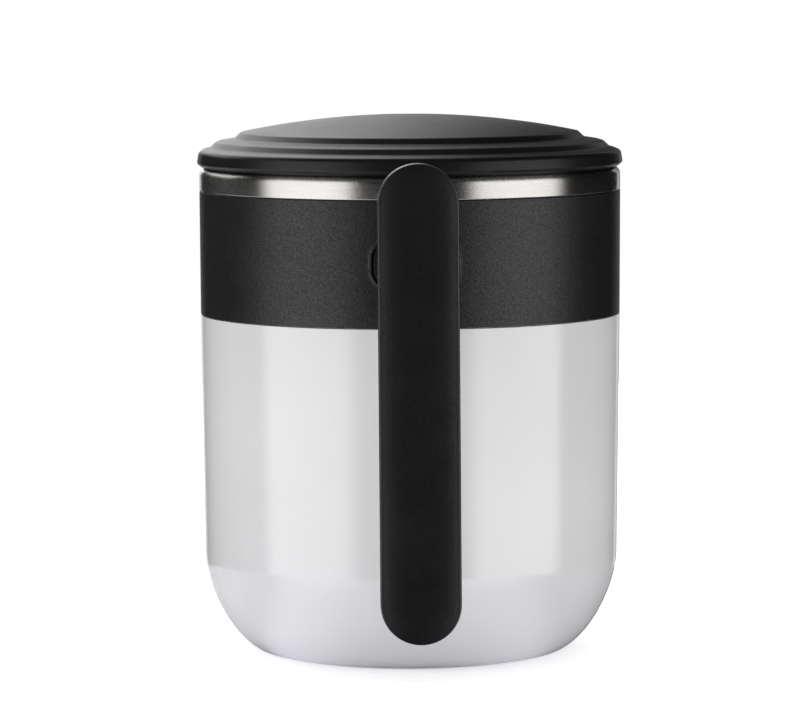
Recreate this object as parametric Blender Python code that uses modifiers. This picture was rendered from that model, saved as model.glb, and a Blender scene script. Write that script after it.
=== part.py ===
"""Travel mug: a steel cup in a plastic shell, with a collar, a T-shaped handle and a lid with a sip slider.

Lengths are in metres and +Z is up. The mug stands on z = 0 with its axis on Z. The handle is
on the -Y side, and the sip hole with its slider is on the +Y side. Pieces that touch on the
real mug keep a gap of FIT between their meshes.
"""

import math

import bmesh
import bpy
from mathutils import Matrix, Vector

# Counts
ROUND_STEPS = 40
FILLET_STEPS = 2
CHAMFER_STEPS = 1
CORNER_STEPS = 3
SMALL_ROUND_STEPS = 12
END_STEPS = 8
ARM_FLARE_STEPS = 4
GASKET_STEPS = 6
SHELL_CORNER_STEPS = 7
LID_DOME_STEPS = 6
LID_INNER_STEPS = 3

# Shared clearances
FIT = 0.0003
SCREW_FIT = 0.0002
CUT_OVERRUN = 0.002
ARC_SPACING = 0.0035

# Mug body
BODY_RADIUS = 0.045
RIM_TOP = 0.1036

# White outer shell
SHELL_INSET = 0.00013
SHELL_DRAFT = 0.00064
SHELL_CORNER_HEIGHT = 0.0206
SHELL_CORNER_REACH = 0.01283
SHELL_CORNER_POWER = 1.61
SHELL_WALL = 0.0028
SHELL_FLOOR = 0.004
SHELL_SPIGOT_HEIGHT = 0.0045
SHELL_SPIGOT_WALL = 0.0013
SHELL_SHOULDER_ROUND = 0.0003

# Non-slip pad in the foot
PAD_MARGIN = 0.0054
PAD_THICKNESS = 0.0015
PAD_EDGE_ROUND = 0.0004

# Steel liner
LINER_WALL = 0.0006
LINER_RIM_WIDTH = 0.0038
LINER_MOUTH_DEPTH = 0.0122
LINER_STEP_HEIGHT = 0.0035
LINER_STEP_DEPTH = 0.002
LINER_DRAFT = 0.0014
LINER_BASE_ROUND = 0.013
LINER_BASE_GAP = 0.0025
LINER_RIM_OUTER_ROUND = 0.00165
LINER_RIM_INNER_ROUND = 0.0012
LINER_BAND_HEIGHT = 0.0048

# Collar
COLLAR_HEIGHT = 0.026
COLLAR_WALL = 0.0028
COLLAR_EDGE_ROUND = 0.0003

# Rings that seal the air gap
LINER_GASKET_THICKNESS = 0.001
SHELL_GASKET_THICKNESS = 0.001

# Handle seat on the collar
SEAT_RISE = 0.0001
SEAT_GAP_ACROSS = 0.0006
SEAT_GAP_UP = 0.0004
SEAT_BEAD_CORNER = 0.0041
SEAT_BEAD_WALL = 0.0009
SEAT_BEAD_PROUD = 0.0009
SEAT_RECESS_DEPTH = 0.0015

# Handle
FINGER_GAP = 0.0275
HANDLE_WIDTH = 0.0162
HANDLE_RISE = 0.0042
HANDLE_BOTTOM = 0.0119
HANDLE_THICKNESS = 0.0065
HANDLE_COVER_THICKNESS = 0.003
HANDLE_FACE_ROUND = 0.0008
HANDLE_BACK_ROUND = 0.0014
ARM_INSET = 0.0002
ARM_HEIGHT = 0.0078
ARM_FILLET = 0.007
ARM_EDGE_ROUND = 0.0026
PEG_RADIUS = 0.0015
PEG_LENGTH = 0.0018
PEG_PLACE_SHARES = (-0.38, 0.0, 0.38)

# Handle screws
SCREW_SPACING_SHARE = 0.5
SCREW_RADIUS = 0.00125
SCREW_LENGTH = 0.0085
SCREW_HEAD_RADIUS = 0.0021
SCREW_HEAD_HEIGHT = 0.0013
SCREW_HEAD_ROUND = 0.0004
SCREW_SEAT_DEPTH = 0.0001
SCREW_CROSS_LENGTH = 0.0024
SCREW_CROSS_WIDTH = 0.0005
SCREW_CROSS_DEPTH = 0.0007

# Lid cover: heights are measured up from its underside, and margins in from its widest edge
LID_OVERHANG = 0.0005
LID_HEIGHT = 0.01105
LID_SEAT_MARGIN = 0.0018
LID_RIM_LOW = 0.0006
LID_RIM_HIGH = 0.0032
LID_RIM_DRAFT = 0.0005
LID_RIM_LOW_ROUND = 0.0005
LID_RIM_HIGH_ROUND = 0.0012
LID_STEP_OUTER_MARGIN = 0.0028
LID_STEP_OUTER_HEIGHT = 0.0038
LID_STEP_MIDDLE_MARGIN = 0.0042
LID_STEP_MIDDLE_HEIGHT = 0.0052
LID_STEP_INNER_MARGIN = 0.0082
LID_STEP_INNER_HEIGHT = 0.006
LID_STEP_ROUND = 0.0006
LID_DOME_MARGIN = 0.0091
LID_DOME_EDGE_HEIGHT = 0.0069
LID_WALL = 0.0018

# Lid plug
PLUG_DEPTH = 0.0085
PLUG_WALL = 0.0016
PLUG_CLEARANCE = 0.0008
PLUG_BASE_ROUND = 0.0018
PLUG_FLANGE_WIDTH = 0.0012
PLUG_FLANGE_THICKNESS = 0.0009
LID_GASKET_HEIGHT = 0.0026
LID_GASKET_DEPTH = 0.0012
LID_GASKET_ROUND = 0.0004
LID_GASKET_HEIGHT_SHARE = 0.6

# Slider well in the lid: its margins are measured towards the mug's axis
WELL_MARGIN = 0.0026
WELL_WIDTH = 0.017
WELL_LEDGE_WIDTH = 0.0015
WELL_CORNER = 0.0022
WELL_LEDGE_HEIGHT = 0.0022
WELL_FLOOR_HEIGHT = 0.00465
WELL_FLOOR_THICKNESS = 0.0016
WELL_WALL = 0.0016
SIP_MARGIN = 0.0054
SIP_WIDTH = 0.011
SIP_LENGTH = 0.0052
SIP_CORNER = 0.0022
SPOUT_WALL = 0.0014
VENT_RADIUS = 0.001
VENT_WALL = 0.0012
VENT_POCKET_WIDTH = 0.0044
VENT_POCKET_REACH = 0.0032

# Slider
SLIDER_LENGTH = 0.017
SLIDER_TRAVEL = 0.009
SLIDER_DECK_PROUD = 0.0005
SLIDER_RIB_WIDTH = 0.0105
SLIDER_RIB_LENGTH = 0.0011
SLIDER_RIB_HEIGHT = 0.0008
SLIDER_RIB_PITCH = 0.0024
SLIDER_RIB_COUNT = 3
SLIDER_RIB_MARGIN = 0.0016
SEAL_THICKNESS = 0.0007
SEAL_OVERLAP = 0.0008

# Worked out from the above: mug
SHELL_TOP_RADIUS = BODY_RADIUS - SHELL_INSET
SHELL_CORNER_TOP_RADIUS = SHELL_TOP_RADIUS - SHELL_DRAFT
SHELL_FOOT_RADIUS = SHELL_CORNER_TOP_RADIUS - SHELL_CORNER_REACH
PAD_RADIUS = SHELL_FOOT_RADIUS - PAD_MARGIN
LINER_BAND_BOTTOM = RIM_TOP - LINER_BAND_HEIGHT
LINER_SKIRT_INNER = BODY_RADIUS - LINER_WALL
LINER_MOUTH_RADIUS = BODY_RADIUS - LINER_RIM_WIDTH
LINER_MOUTH_OUTER = LINER_MOUTH_RADIUS + LINER_WALL
LINER_BODY_RADIUS = LINER_MOUTH_RADIUS - LINER_STEP_DEPTH
LINER_BASE_RADIUS = LINER_BODY_RADIUS - LINER_DRAFT
COLLAR_TOP = LINER_BAND_BOTTOM - FIT
COLLAR_BOTTOM = COLLAR_TOP - COLLAR_HEIGHT
SHELL_HEIGHT = COLLAR_BOTTOM - FIT
SHELL_SPIGOT_INNER = SHELL_TOP_RADIUS - SHELL_WALL
SHELL_SPIGOT_OUTER = SHELL_SPIGOT_INNER + SHELL_SPIGOT_WALL
SHELL_SPIGOT_TOP = SHELL_HEIGHT + SHELL_SPIGOT_HEIGHT
COLLAR_INNER = BODY_RADIUS - COLLAR_WALL
COLLAR_LIP_INNER = SHELL_SPIGOT_OUTER + FIT
COLLAR_STEP = SHELL_SPIGOT_TOP + SHELL_GASKET_THICKNESS + 2 * FIT
COLLAR_SPIGOT_OUTER = LINER_SKIRT_INNER - FIT
LINER_GASKET_TOP = RIM_TOP - LINER_WALL - FIT
COLLAR_SPIGOT_TOP = LINER_GASKET_TOP - LINER_GASKET_THICKNESS - FIT
LINER_GASKET_RADIUS = (LINER_MOUTH_OUTER + LINER_SKIRT_INNER) / 2

# Worked out from the above: handle
HANDLE_REACH = BODY_RADIUS + FINGER_GAP + HANDLE_THICKNESS
HANDLE_TOP = RIM_TOP + HANDLE_RISE
STRAP_BACK = BODY_RADIUS + FINGER_GAP
FRAME_THICKNESS = HANDLE_THICKNESS - HANDLE_COVER_THICKNESS - FIT
STRAP_LENGTH = HANDLE_TOP - HANDLE_BOTTOM
STRAP_MIDDLE = (HANDLE_TOP + HANDLE_BOTTOM) / 2
ARM_WIDTH = HANDLE_WIDTH - 2 * ARM_INSET
SEAT_HEIGHT = (COLLAR_BOTTOM + COLLAR_TOP) / 2 + SEAT_RISE
SEAT_RECESS_WIDTH = ARM_WIDTH + 2 * SEAT_GAP_ACROSS
SEAT_RECESS_HEIGHT = ARM_HEIGHT + 2 * SEAT_GAP_UP
SEAT_FLOOR = BODY_RADIUS - SEAT_RECESS_DEPTH
ARM_START = SEAT_FLOOR + FIT
SCREW_PLACE = ARM_WIDTH / 2 * SCREW_SPACING_SHARE
SCREW_SEAT = COLLAR_INNER + SCREW_SEAT_DEPTH
SCREW_HEAD_FACE = SCREW_SEAT - FIT

# Worked out from the above: lid
LID_SEAT = RIM_TOP + FIT
LID_RADIUS = BODY_RADIUS + LID_OVERHANG
LID_DOME_RADIUS = LID_RADIUS - LID_DOME_MARGIN
PLUG_RADIUS = LINER_MOUTH_RADIUS - PLUG_CLEARANCE
PLUG_FLANGE_RADIUS = PLUG_RADIUS + PLUG_FLANGE_WIDTH
PLUG_POCKET_RADIUS = PLUG_FLANGE_RADIUS + FIT
PLUG_POCKET_DEPTH = PLUG_FLANGE_THICKNESS + 2 * FIT
PLUG_GROOVE_RADIUS = PLUG_RADIUS - LID_GASKET_DEPTH
PLUG_INNER = PLUG_GROOVE_RADIUS - PLUG_WALL
LID_GASKET_OUTER = LINER_MOUTH_RADIUS - FIT
LID_GASKET_INNER = PLUG_GROOVE_RADIUS + FIT
LID_GASKET_MIDDLE = -PLUG_DEPTH * LID_GASKET_HEIGHT_SHARE
WELL_END = LID_DOME_RADIUS - WELL_MARGIN
WELL_LENGTH = SLIDER_LENGTH + SLIDER_TRAVEL + 2 * FIT
WELL_START = WELL_END - WELL_LENGTH
WELL_MIDDLE = (WELL_START + WELL_END) / 2
WELL_BOTTOM = WELL_FLOOR_HEIGHT - WELL_FLOOR_THICKNESS
WELL_LEDGE = WELL_FLOOR_HEIGHT + WELL_LEDGE_HEIGHT
WELL_MOUTH_WIDTH = WELL_WIDTH - 2 * WELL_LEDGE_WIDTH
WELL_MOUTH_LENGTH = WELL_LENGTH - 2 * WELL_LEDGE_WIDTH
SIP_PLACE = WELL_END - SIP_MARGIN
VENT_POCKET_START = WELL_START - VENT_POCKET_REACH
VENT_POCKET_END = WELL_START + WELL_CORNER
VENT_PLACE = WELL_START - VENT_POCKET_REACH / 2
SPOUT_TOP = WELL_BOTTOM - FIT
SLIDER_PLACE = WELL_END - FIT - SLIDER_LENGTH / 2
SLIDER_BASE_THICKNESS = WELL_LEDGE_HEIGHT - 2 * FIT
SLIDER_BASE_WIDTH = WELL_WIDTH - 2 * FIT
SLIDER_DECK_WIDTH = WELL_MOUTH_WIDTH - 2 * FIT
SLIDER_DECK_LENGTH = SLIDER_LENGTH - 2 * WELL_LEDGE_WIDTH
SLIDER_DECK_TOP = SLIDER_BASE_THICKNESS + FIT + SLIDER_DECK_PROUD

# Surface finishes: linear colour, roughness, metallic
FINISHES = {
    "white_gloss_plastic": ((0.76, 0.76, 0.77), 0.18, 0.0),
    "black_matt_plastic": ((0.018, 0.018, 0.019), 0.5, 0.0),
    "black_satin_plastic": ((0.014, 0.014, 0.015), 0.38, 0.0),
    "brushed_steel": ((0.62, 0.61, 0.59), 0.24, 1.0),
    "screw_steel": ((0.5, 0.5, 0.5), 0.35, 1.0),
    "black_silicone": ((0.02, 0.02, 0.02), 0.7, 0.0),
    "grey_silicone": ((0.33, 0.33, 0.34), 0.6, 0.0),
}
SHARP_ANGLE = math.radians(35)
MERGE = 0.000001


def clear_scene():
    """Empties the scene, and makes one collection for the parts and one for the cutters."""
    for obj in list(bpy.data.objects):
        bpy.data.objects.remove(obj, do_unlink=True)
    made = []
    for name in ("travel_mug", "cutters"):
        collection = bpy.data.collections.new(name)
        bpy.context.scene.collection.children.link(collection)
        made.append(collection)
    return made


def make_finish(name):
    colour, roughness, metallic = FINISHES[name]
    material = bpy.data.materials.new(name)
    material.use_nodes = True
    shader = material.node_tree.nodes["Principled BSDF"]
    shader.inputs["Base Color"].default_value = (*colour, 1.0)
    shader.inputs["Roughness"].default_value = roughness
    shader.inputs["Metallic"].default_value = metallic
    material.diffuse_color = (*colour, 1.0)
    return material


def empty(name, location, parent=None):
    """A bare axis that carries the pieces of one moving body."""
    obj = bpy.data.objects.new(name, None)
    obj.location = location
    obj.parent = parent
    PARTS.objects.link(obj)
    return obj


def add(name, mesh, parent, finish=None, location=(0, 0, 0), rotation=(0, 0, 0)):
    """Puts a mesh in the scene: with a finish it is a part, and without one it is a cutter."""
    obj = bpy.data.objects.new(name, mesh)
    obj.location = location
    obj.rotation_euler = rotation
    obj.parent = parent
    if finish:
        PARTS.objects.link(obj)
        mesh.materials.append(MATERIALS[finish])
    else:
        CUTTERS.objects.link(obj)
        obj.hide_render = True
        obj.display_type = "WIRE"
    return obj


def evaluated_mesh(obj):
    """The object's shape as a mesh, with its modifiers applied."""
    bpy.context.view_layer.update()
    graph = bpy.context.evaluated_depsgraph_get()
    return bpy.data.meshes.new_from_object(obj.evaluated_get(graph))


def combine(obj, other, operation):
    """Adds or cuts another shape, as a Boolean that stays on the object until it is settled."""
    boolean = obj.modifiers.new(other.name, "BOOLEAN")
    boolean.operation = operation
    boolean.object = other
    boolean.solver = "EXACT"


def settle(obj):
    """Applies the modifiers and shades round faces smooth."""
    mesh = evaluated_mesh(obj)
    obj.modifiers.clear()
    obj.data = mesh
    mesh.shade_smooth()
    mesh.set_sharp_from_angle(angle=SHARP_ANGLE)


def rounded(corners, closed=False, steps=FILLET_STEPS):
    """The points of an outline of (across, up, radius) corners, each rounded to its radius by an arc.

    An arc starts and ends at most just short of the middle of its two sides. A long arc gets more
    steps than a short one, so that its points lie about ARC_SPACING apart.
    """
    places = [Vector(corner[:2]) for corner in corners]
    points = []
    for index, (place, corner) in enumerate(zip(places, corners)):
        radius = corner[2]
        is_end = not closed and index in (0, len(corners) - 1)
        if is_end or not radius:
            points.append(place)
            continue
        before = places[index - 1] - place
        after = places[(index + 1) % len(places)] - place
        half_angle = before.angle(after) / 2
        longest = 0.49 * min(before.length, after.length)
        reach = min(radius / math.tan(half_angle), longest)
        radius = reach * math.tan(half_angle)
        middle = (before.normalized() + after.normalized()).normalized()
        centre = place + middle * (radius / math.sin(half_angle))
        first = place + before.normalized() * reach - centre
        last = place + after.normalized() * reach - centre
        sweep = first.angle_signed(last)
        count = max(steps, round(abs(sweep) * radius / ARC_SPACING))
        for step in range(count + 1):
            turn = Matrix.Rotation(-sweep * step / count, 2)
            points.append(centre + turn @ first)
    return points


def turned(name, profile, parent, finish=None, closed=False, steps=ROUND_STEPS, **place):
    """A solid of revolution about the local Z axis.

    The profile holds (radius, height) points and runs down the outer side. It starts and ends on
    the axis, or is a closed loop for a ring.
    """
    mesh = bpy.data.meshes.new(name)
    edges = [(index, index + 1) for index in range(len(profile) - 1)]
    if closed:
        edges.append((len(profile) - 1, 0))
    mesh.from_pydata([(radius, 0, height) for radius, height in profile], edges, [])
    obj = add(name, mesh, parent, finish, **place)
    screw = obj.modifiers.new("turn", "SCREW")
    screw.steps = screw.render_steps = steps
    screw.use_merge_vertices = True
    screw.merge_threshold = MERGE
    return obj


def ring(name, inner, outer, low, high, edge_round, parent, finish):
    """A ring of rectangular section with softened edges."""
    section = [(outer, high), (outer, low), (inner, low), (inner, high)]
    corners = [(radius, height, edge_round) for radius, height in section]
    profile = rounded(corners, closed=True, steps=CHAMFER_STEPS)
    return turned(name, profile, parent, finish, closed=True)


def rod(name, radius, low, high, parent, **place):
    """A plain round bar along the local Z axis, used to cut a hole or to join a peg."""
    profile = [(0, high), (radius, high), (radius, low), (0, low)]
    return turned(name, profile, parent, steps=SMALL_ROUND_STEPS, **place)


def block(name, width, length, low, high, corner, parent, finish=None, **place):
    """A box centred on the local Z axis, from low to high, with its upright edges rounded."""
    shape = bmesh.new()
    size = Matrix.Diagonal((width, length, high - low, 1))
    middle = Matrix.Translation((0, 0, (low + high) / 2))
    bmesh.ops.create_cube(shape, size=1, matrix=middle @ size)
    upright = [edge for edge in shape.edges if edge.verts[0].co.z != edge.verts[1].co.z]
    if corner:
        bmesh.ops.bevel(
            shape, geom=upright, offset=corner, offset_type="OFFSET",
            segments=CORNER_STEPS, profile=0.5, affect="EDGES",
        )
    mesh = bpy.data.meshes.new(name)
    shape.to_mesh(mesh)
    shape.free()
    return add(name, mesh, parent, finish, **place)


def plate(name, outline, low, high, parent, finish=None, low_round=0, high_round=0, **place):
    """A flat outline in the local XY plane, made a solid from low to high, with rounded rims."""
    curve = bpy.data.curves.new(name, "CURVE")
    curve.dimensions = "2D"
    curve.fill_mode = "BOTH"
    curve.extrude = (high - low) / 2
    spline = curve.splines.new("POLY")
    spline.points.add(len(outline) - 1)
    for point, (across, up) in zip(spline.points, outline):
        point.co = (across, up, 0, 1)
    spline.use_cyclic_u = True
    guide = bpy.data.objects.new(name, curve)
    CUTTERS.objects.link(guide)
    mesh = evaluated_mesh(guide)
    bpy.data.objects.remove(guide)
    shape = bmesh.new()
    shape.from_mesh(mesh)
    bmesh.ops.remove_doubles(shape, verts=shape.verts, dist=MERGE)
    for side, radius in ((-1, low_round), (1, high_round)):
        if radius:
            round_rim(shape, side, radius)
    bmesh.ops.translate(shape, verts=shape.verts, vec=(0, 0, (low + high) / 2))
    shape.to_mesh(mesh)
    shape.free()
    return add(name, mesh, parent, finish, **place)


def round_rim(shape, side, radius):
    """Rounds the rim between a plate's edge and its lower (-1) or upper (1) face."""
    rim = []
    for edge in shape.edges:
        on_side = all(vert.co.z * side > 0 for vert in edge.verts)
        if on_side and edge.calc_face_angle(0) > SHARP_ANGLE:
            rim.append(edge)
    bmesh.ops.bevel(
        shape, geom=rim, offset=radius, offset_type="OFFSET",
        segments=CORNER_STEPS, profile=0.5, affect="EDGES", clamp_overlap=True,
    )


def loft(name, sections, parent, finish=None, **place):
    """A solid through closed sections that have as many points each, with its two ends filled."""
    count = len(sections[0])
    points = [point for section in sections for point in section]
    faces = [tuple(reversed(range(count))), tuple(range(len(points) - count, len(points)))]
    for start in range(0, len(points) - count, count):
        for index in range(count):
            after = (index + 1) % count
            faces.append((start + index, start + after, start + count + after, start + count + index))
    mesh = bpy.data.meshes.new(name)
    mesh.from_pydata(points, [], faces)
    return add(name, mesh, parent, finish, **place)


def stadium(width, length):
    """The outline of a strap with round ends, which stands along the local Y axis."""
    radius = width / 2
    straight = length / 2 - radius
    points = []
    for side in (1, -1):
        for step in range(END_STEPS + 1):
            angle = math.pi * step / END_STEPS
            across = side * radius * math.cos(angle)
            up = side * (straight + radius * math.sin(angle))
            points.append((across, up))
    return points


def rounded_rectangle(width, height, corner):
    sides = ((1, 1), (-1, 1), (-1, -1), (1, -1))
    corners = [(x * width / 2, y * height / 2, corner) for x, y in sides]
    return rounded(corners, closed=True, steps=CORNER_STEPS)


def shell_corner(foot_radius, wall_radius, floor, top):
    """The shell's bottom corner, from the wall down to the foot, as a superellipse."""
    points = []
    for step in range(SHELL_CORNER_STEPS + 1):
        angle = math.pi / 2 * step / SHELL_CORNER_STEPS
        out = max(math.cos(angle), 0) ** (2 / SHELL_CORNER_POWER)
        down = math.sin(angle) ** (2 / SHELL_CORNER_POWER)
        radius = foot_radius + (wall_radius - foot_radius) * out
        points.append((radius, top - (top - floor) * down))
    return points


def outer_shell():
    """White cup: a drafted wall, a soft bottom corner, and a thin spigot that the collar covers."""
    wall_top = rounded([
        (SHELL_SPIGOT_INNER, SHELL_SPIGOT_TOP, 0),
        (SHELL_SPIGOT_OUTER, SHELL_SPIGOT_TOP, 0),
        (SHELL_SPIGOT_OUTER, SHELL_HEIGHT, 0),
        (SHELL_TOP_RADIUS, SHELL_HEIGHT, SHELL_SHOULDER_ROUND),
        (SHELL_CORNER_TOP_RADIUS, SHELL_CORNER_HEIGHT, 0),
    ])
    corner = shell_corner(SHELL_FOOT_RADIUS, SHELL_CORNER_TOP_RADIUS, 0, SHELL_CORNER_HEIGHT)
    inside_corner = shell_corner(
        SHELL_FOOT_RADIUS - SHELL_WALL / 2, SHELL_CORNER_TOP_RADIUS - SHELL_WALL,
        SHELL_FLOOR, SHELL_CORNER_HEIGHT,
    )
    pad_recess = PAD_THICKNESS + FIT
    foot = [(PAD_RADIUS + FIT, 0), (PAD_RADIUS + FIT, pad_recess), (0, pad_recess)]
    inside = [(0, SHELL_FLOOR), *reversed(inside_corner)]
    profile = [*inside, *wall_top[:-1], *corner, *foot]
    return turned("outer_shell", profile, MUG, "white_gloss_plastic")


def base_pad():
    """Soft disc let into the foot, level with it, so that both rest on the table."""
    profile = rounded([
        (0, PAD_THICKNESS, 0),
        (PAD_RADIUS, PAD_THICKNESS, 0),
        (PAD_RADIUS, 0, PAD_EDGE_ROUND),
        (0, 0, 0),
    ], steps=CHAMFER_STEPS)
    return turned("base_pad", profile, MUG, "grey_silicone")


def liner_side(offset):
    """The liner's cup wall from its mouth to its floor, moved out from the inner face by offset."""
    mouth_bottom = RIM_TOP - LINER_MOUTH_DEPTH
    floor = SHELL_FLOOR + LINER_BASE_GAP + LINER_WALL
    return [
        (LINER_MOUTH_RADIUS + offset, mouth_bottom, LINER_STEP_HEIGHT / 2),
        (LINER_BODY_RADIUS + offset, mouth_bottom - LINER_STEP_HEIGHT, LINER_STEP_HEIGHT / 2),
        (LINER_BASE_RADIUS + offset, floor - offset, LINER_BASE_ROUND + offset),
        (0, floor - offset, 0),
    ]


def inner_liner():
    """Drawn steel cup whose rim rolls over the collar's lip and shows as a band above it."""
    under_rim = RIM_TOP - LINER_WALL
    inside = [(LINER_MOUTH_RADIUS, RIM_TOP, LINER_RIM_INNER_ROUND), *liner_side(0)]
    outside = [(LINER_MOUTH_OUTER, under_rim, 0), *liner_side(LINER_WALL)]
    skirt = [
        (LINER_SKIRT_INNER, under_rim, LINER_RIM_OUTER_ROUND - LINER_WALL),
        (LINER_SKIRT_INNER, LINER_BAND_BOTTOM, 0),
        (BODY_RADIUS, LINER_BAND_BOTTOM, 0),
        (BODY_RADIUS, RIM_TOP, LINER_RIM_OUTER_ROUND),
    ]
    around = [*reversed(inside), *reversed(skirt), *outside]
    return turned("inner_liner", rounded(around), MUG, "brushed_steel")


def liner_gasket():
    """Round cord ring in the channel between the collar's lip and the rolled rim."""
    section = LINER_GASKET_THICKNESS / 2
    points = []
    for step in range(GASKET_STEPS):
        angle = -2 * math.pi * step / GASKET_STEPS
        across = LINER_GASKET_RADIUS + section * math.cos(angle)
        up = LINER_GASKET_TOP - section + section * math.sin(angle)
        points.append((across, up))
    return turned("liner_gasket", points, MUG, "black_silicone", closed=True)


def shell_gasket():
    """Flat ring on top of the shell's spigot, under the step inside the collar."""
    low = SHELL_SPIGOT_TOP + FIT
    high = low + SHELL_GASKET_THICKNESS
    return ring(
        "shell_gasket", SHELL_SPIGOT_INNER + FIT, SHELL_SPIGOT_OUTER, low, high, 0,
        MUG, "black_silicone",
    )


def collar():
    """Black band: it grips the shell's spigot, carries the liner's rim and holds the handle's seat."""
    profile = rounded([
        (COLLAR_SPIGOT_OUTER, COLLAR_SPIGOT_TOP, 0),
        (COLLAR_SPIGOT_OUTER, COLLAR_TOP, 0),
        (BODY_RADIUS, COLLAR_TOP, COLLAR_EDGE_ROUND),
        (SHELL_TOP_RADIUS, COLLAR_BOTTOM, COLLAR_EDGE_ROUND),
        (COLLAR_LIP_INNER, COLLAR_BOTTOM, 0),
        (COLLAR_LIP_INNER, COLLAR_STEP, 0),
        (COLLAR_INNER, COLLAR_STEP, 0),
        (COLLAR_INNER, COLLAR_SPIGOT_TOP, 0),
    ], closed=True)
    band = turned("collar", profile, MUG, "black_matt_plastic", closed=True)
    face = BODY_RADIUS + SEAT_BEAD_PROUD
    facing_handle = {"location": (0, 0, SEAT_HEIGHT), "rotation": FACE_OUT}
    outside = rounded_rectangle(
        SEAT_RECESS_WIDTH + 2 * SEAT_BEAD_WALL, SEAT_RECESS_HEIGHT + 2 * SEAT_BEAD_WALL,
        SEAT_BEAD_CORNER,
    )
    inside = rounded_rectangle(
        SEAT_RECESS_WIDTH, SEAT_RECESS_HEIGHT, SEAT_BEAD_CORNER - SEAT_BEAD_WALL,
    )
    bead = plate(
        "collar_bead", outside, SEAT_FLOOR, face, MUG, high_round=SEAT_BEAD_WALL / 3,
        **facing_handle,
    )
    recess = plate(
        "collar_recess", inside, SEAT_FLOOR, face + CUT_OVERRUN, MUG, **facing_handle,
    )
    for side in (-1, 1):
        combine(recess, collar_screw_hole(side, face), "UNION")
    combine(band, bead, "UNION")
    combine(band, recess, "DIFFERENCE")
    return band


def collar_screw_hole(side, face):
    """Cutter for a screw's hole in the collar, with a wider seat for its head on the inner side."""
    hole = SCREW_RADIUS + SCREW_FIT
    seat = SCREW_HEAD_RADIUS + FIT
    low = COLLAR_INNER - CUT_OVERRUN
    profile = [
        (0, face),
        (hole, face),
        (hole, SCREW_SEAT),
        (seat, SCREW_SEAT),
        (seat, low),
        (0, low),
    ]
    return turned(
        "collar_screw_hole", profile, MUG, steps=SMALL_ROUND_STEPS,
        location=(side * SCREW_PLACE, 0, SEAT_HEIGHT), rotation=FACE_OUT,
    )


def handle_arm():
    """The arm as a stack of rounded rectangles, which grow taller along a quarter circle at the strap."""
    root = STRAP_BACK + FRAME_THICKNESS / 4
    stations = [(ARM_START, ARM_HEIGHT)]
    for step in range(ARM_FLARE_STEPS + 1):
        angle = math.pi / 2 * step / ARM_FLARE_STEPS
        out = root - ARM_FILLET * (1 - math.sin(angle))
        stations.append((out, ARM_HEIGHT + 2 * ARM_FILLET * (1 - math.cos(angle))))
    stations.append((STRAP_BACK + FRAME_THICKNESS / 2, ARM_HEIGHT + 2 * ARM_FILLET))
    sections = []
    for out, height in stations:
        outline = rounded_rectangle(ARM_WIDTH, height, ARM_EDGE_ROUND)
        sections.append([(across, up, out) for across, up in outline])
    return loft("handle_arm", sections, MUG, location=(0, 0, SEAT_HEIGHT), rotation=FACE_OUT)


def handle_frame():
    """The arm from the collar and the back half of the strap, with sockets for the cover's pegs."""
    strap = plate(
        "handle_frame", stadium(HANDLE_WIDTH, STRAP_LENGTH), STRAP_BACK, STRAP_BACK + FRAME_THICKNESS,
        MUG, "black_satin_plastic", low_round=HANDLE_BACK_ROUND,
        location=(0, 0, STRAP_MIDDLE), rotation=FACE_OUT,
    )
    arm = handle_arm()
    combine(strap, arm, "UNION")
    for place in peg_places():
        low = STRAP_BACK + FRAME_THICKNESS - PEG_LENGTH - FIT
        high = STRAP_BACK + FRAME_THICKNESS + CUT_OVERRUN
        socket = rod("peg_socket", PEG_RADIUS + FIT, low, high, MUG, location=place, rotation=FACE_OUT)
        combine(strap, socket, "DIFFERENCE")
    for side in (-1, 1):
        pilot = rod(
            "screw_pilot", SCREW_RADIUS + SCREW_FIT, COLLAR_INNER,
            SCREW_HEAD_FACE + SCREW_LENGTH + FIT, MUG,
            location=(side * SCREW_PLACE, 0, SEAT_HEIGHT), rotation=FACE_OUT,
        )
        combine(strap, pilot, "DIFFERENCE")
    return strap


def peg_places():
    return [(0, 0, STRAP_MIDDLE + share * STRAP_LENGTH) for share in PEG_PLACE_SHARES]


def handle_cover():
    """The strap's outer face, held to the frame by pegs."""
    low = HANDLE_REACH - HANDLE_COVER_THICKNESS
    cover = plate(
        "handle_cover", stadium(HANDLE_WIDTH, STRAP_LENGTH), low, HANDLE_REACH,
        MUG, "black_satin_plastic", high_round=HANDLE_FACE_ROUND,
        location=(0, 0, STRAP_MIDDLE), rotation=FACE_OUT,
    )
    for place in peg_places():
        middle = low + HANDLE_COVER_THICKNESS / 2
        peg = rod(
            "cover_peg", PEG_RADIUS, low - PEG_LENGTH, middle, MUG,
            location=place, rotation=FACE_OUT,
        )
        combine(cover, peg, "UNION")
    return cover


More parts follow.
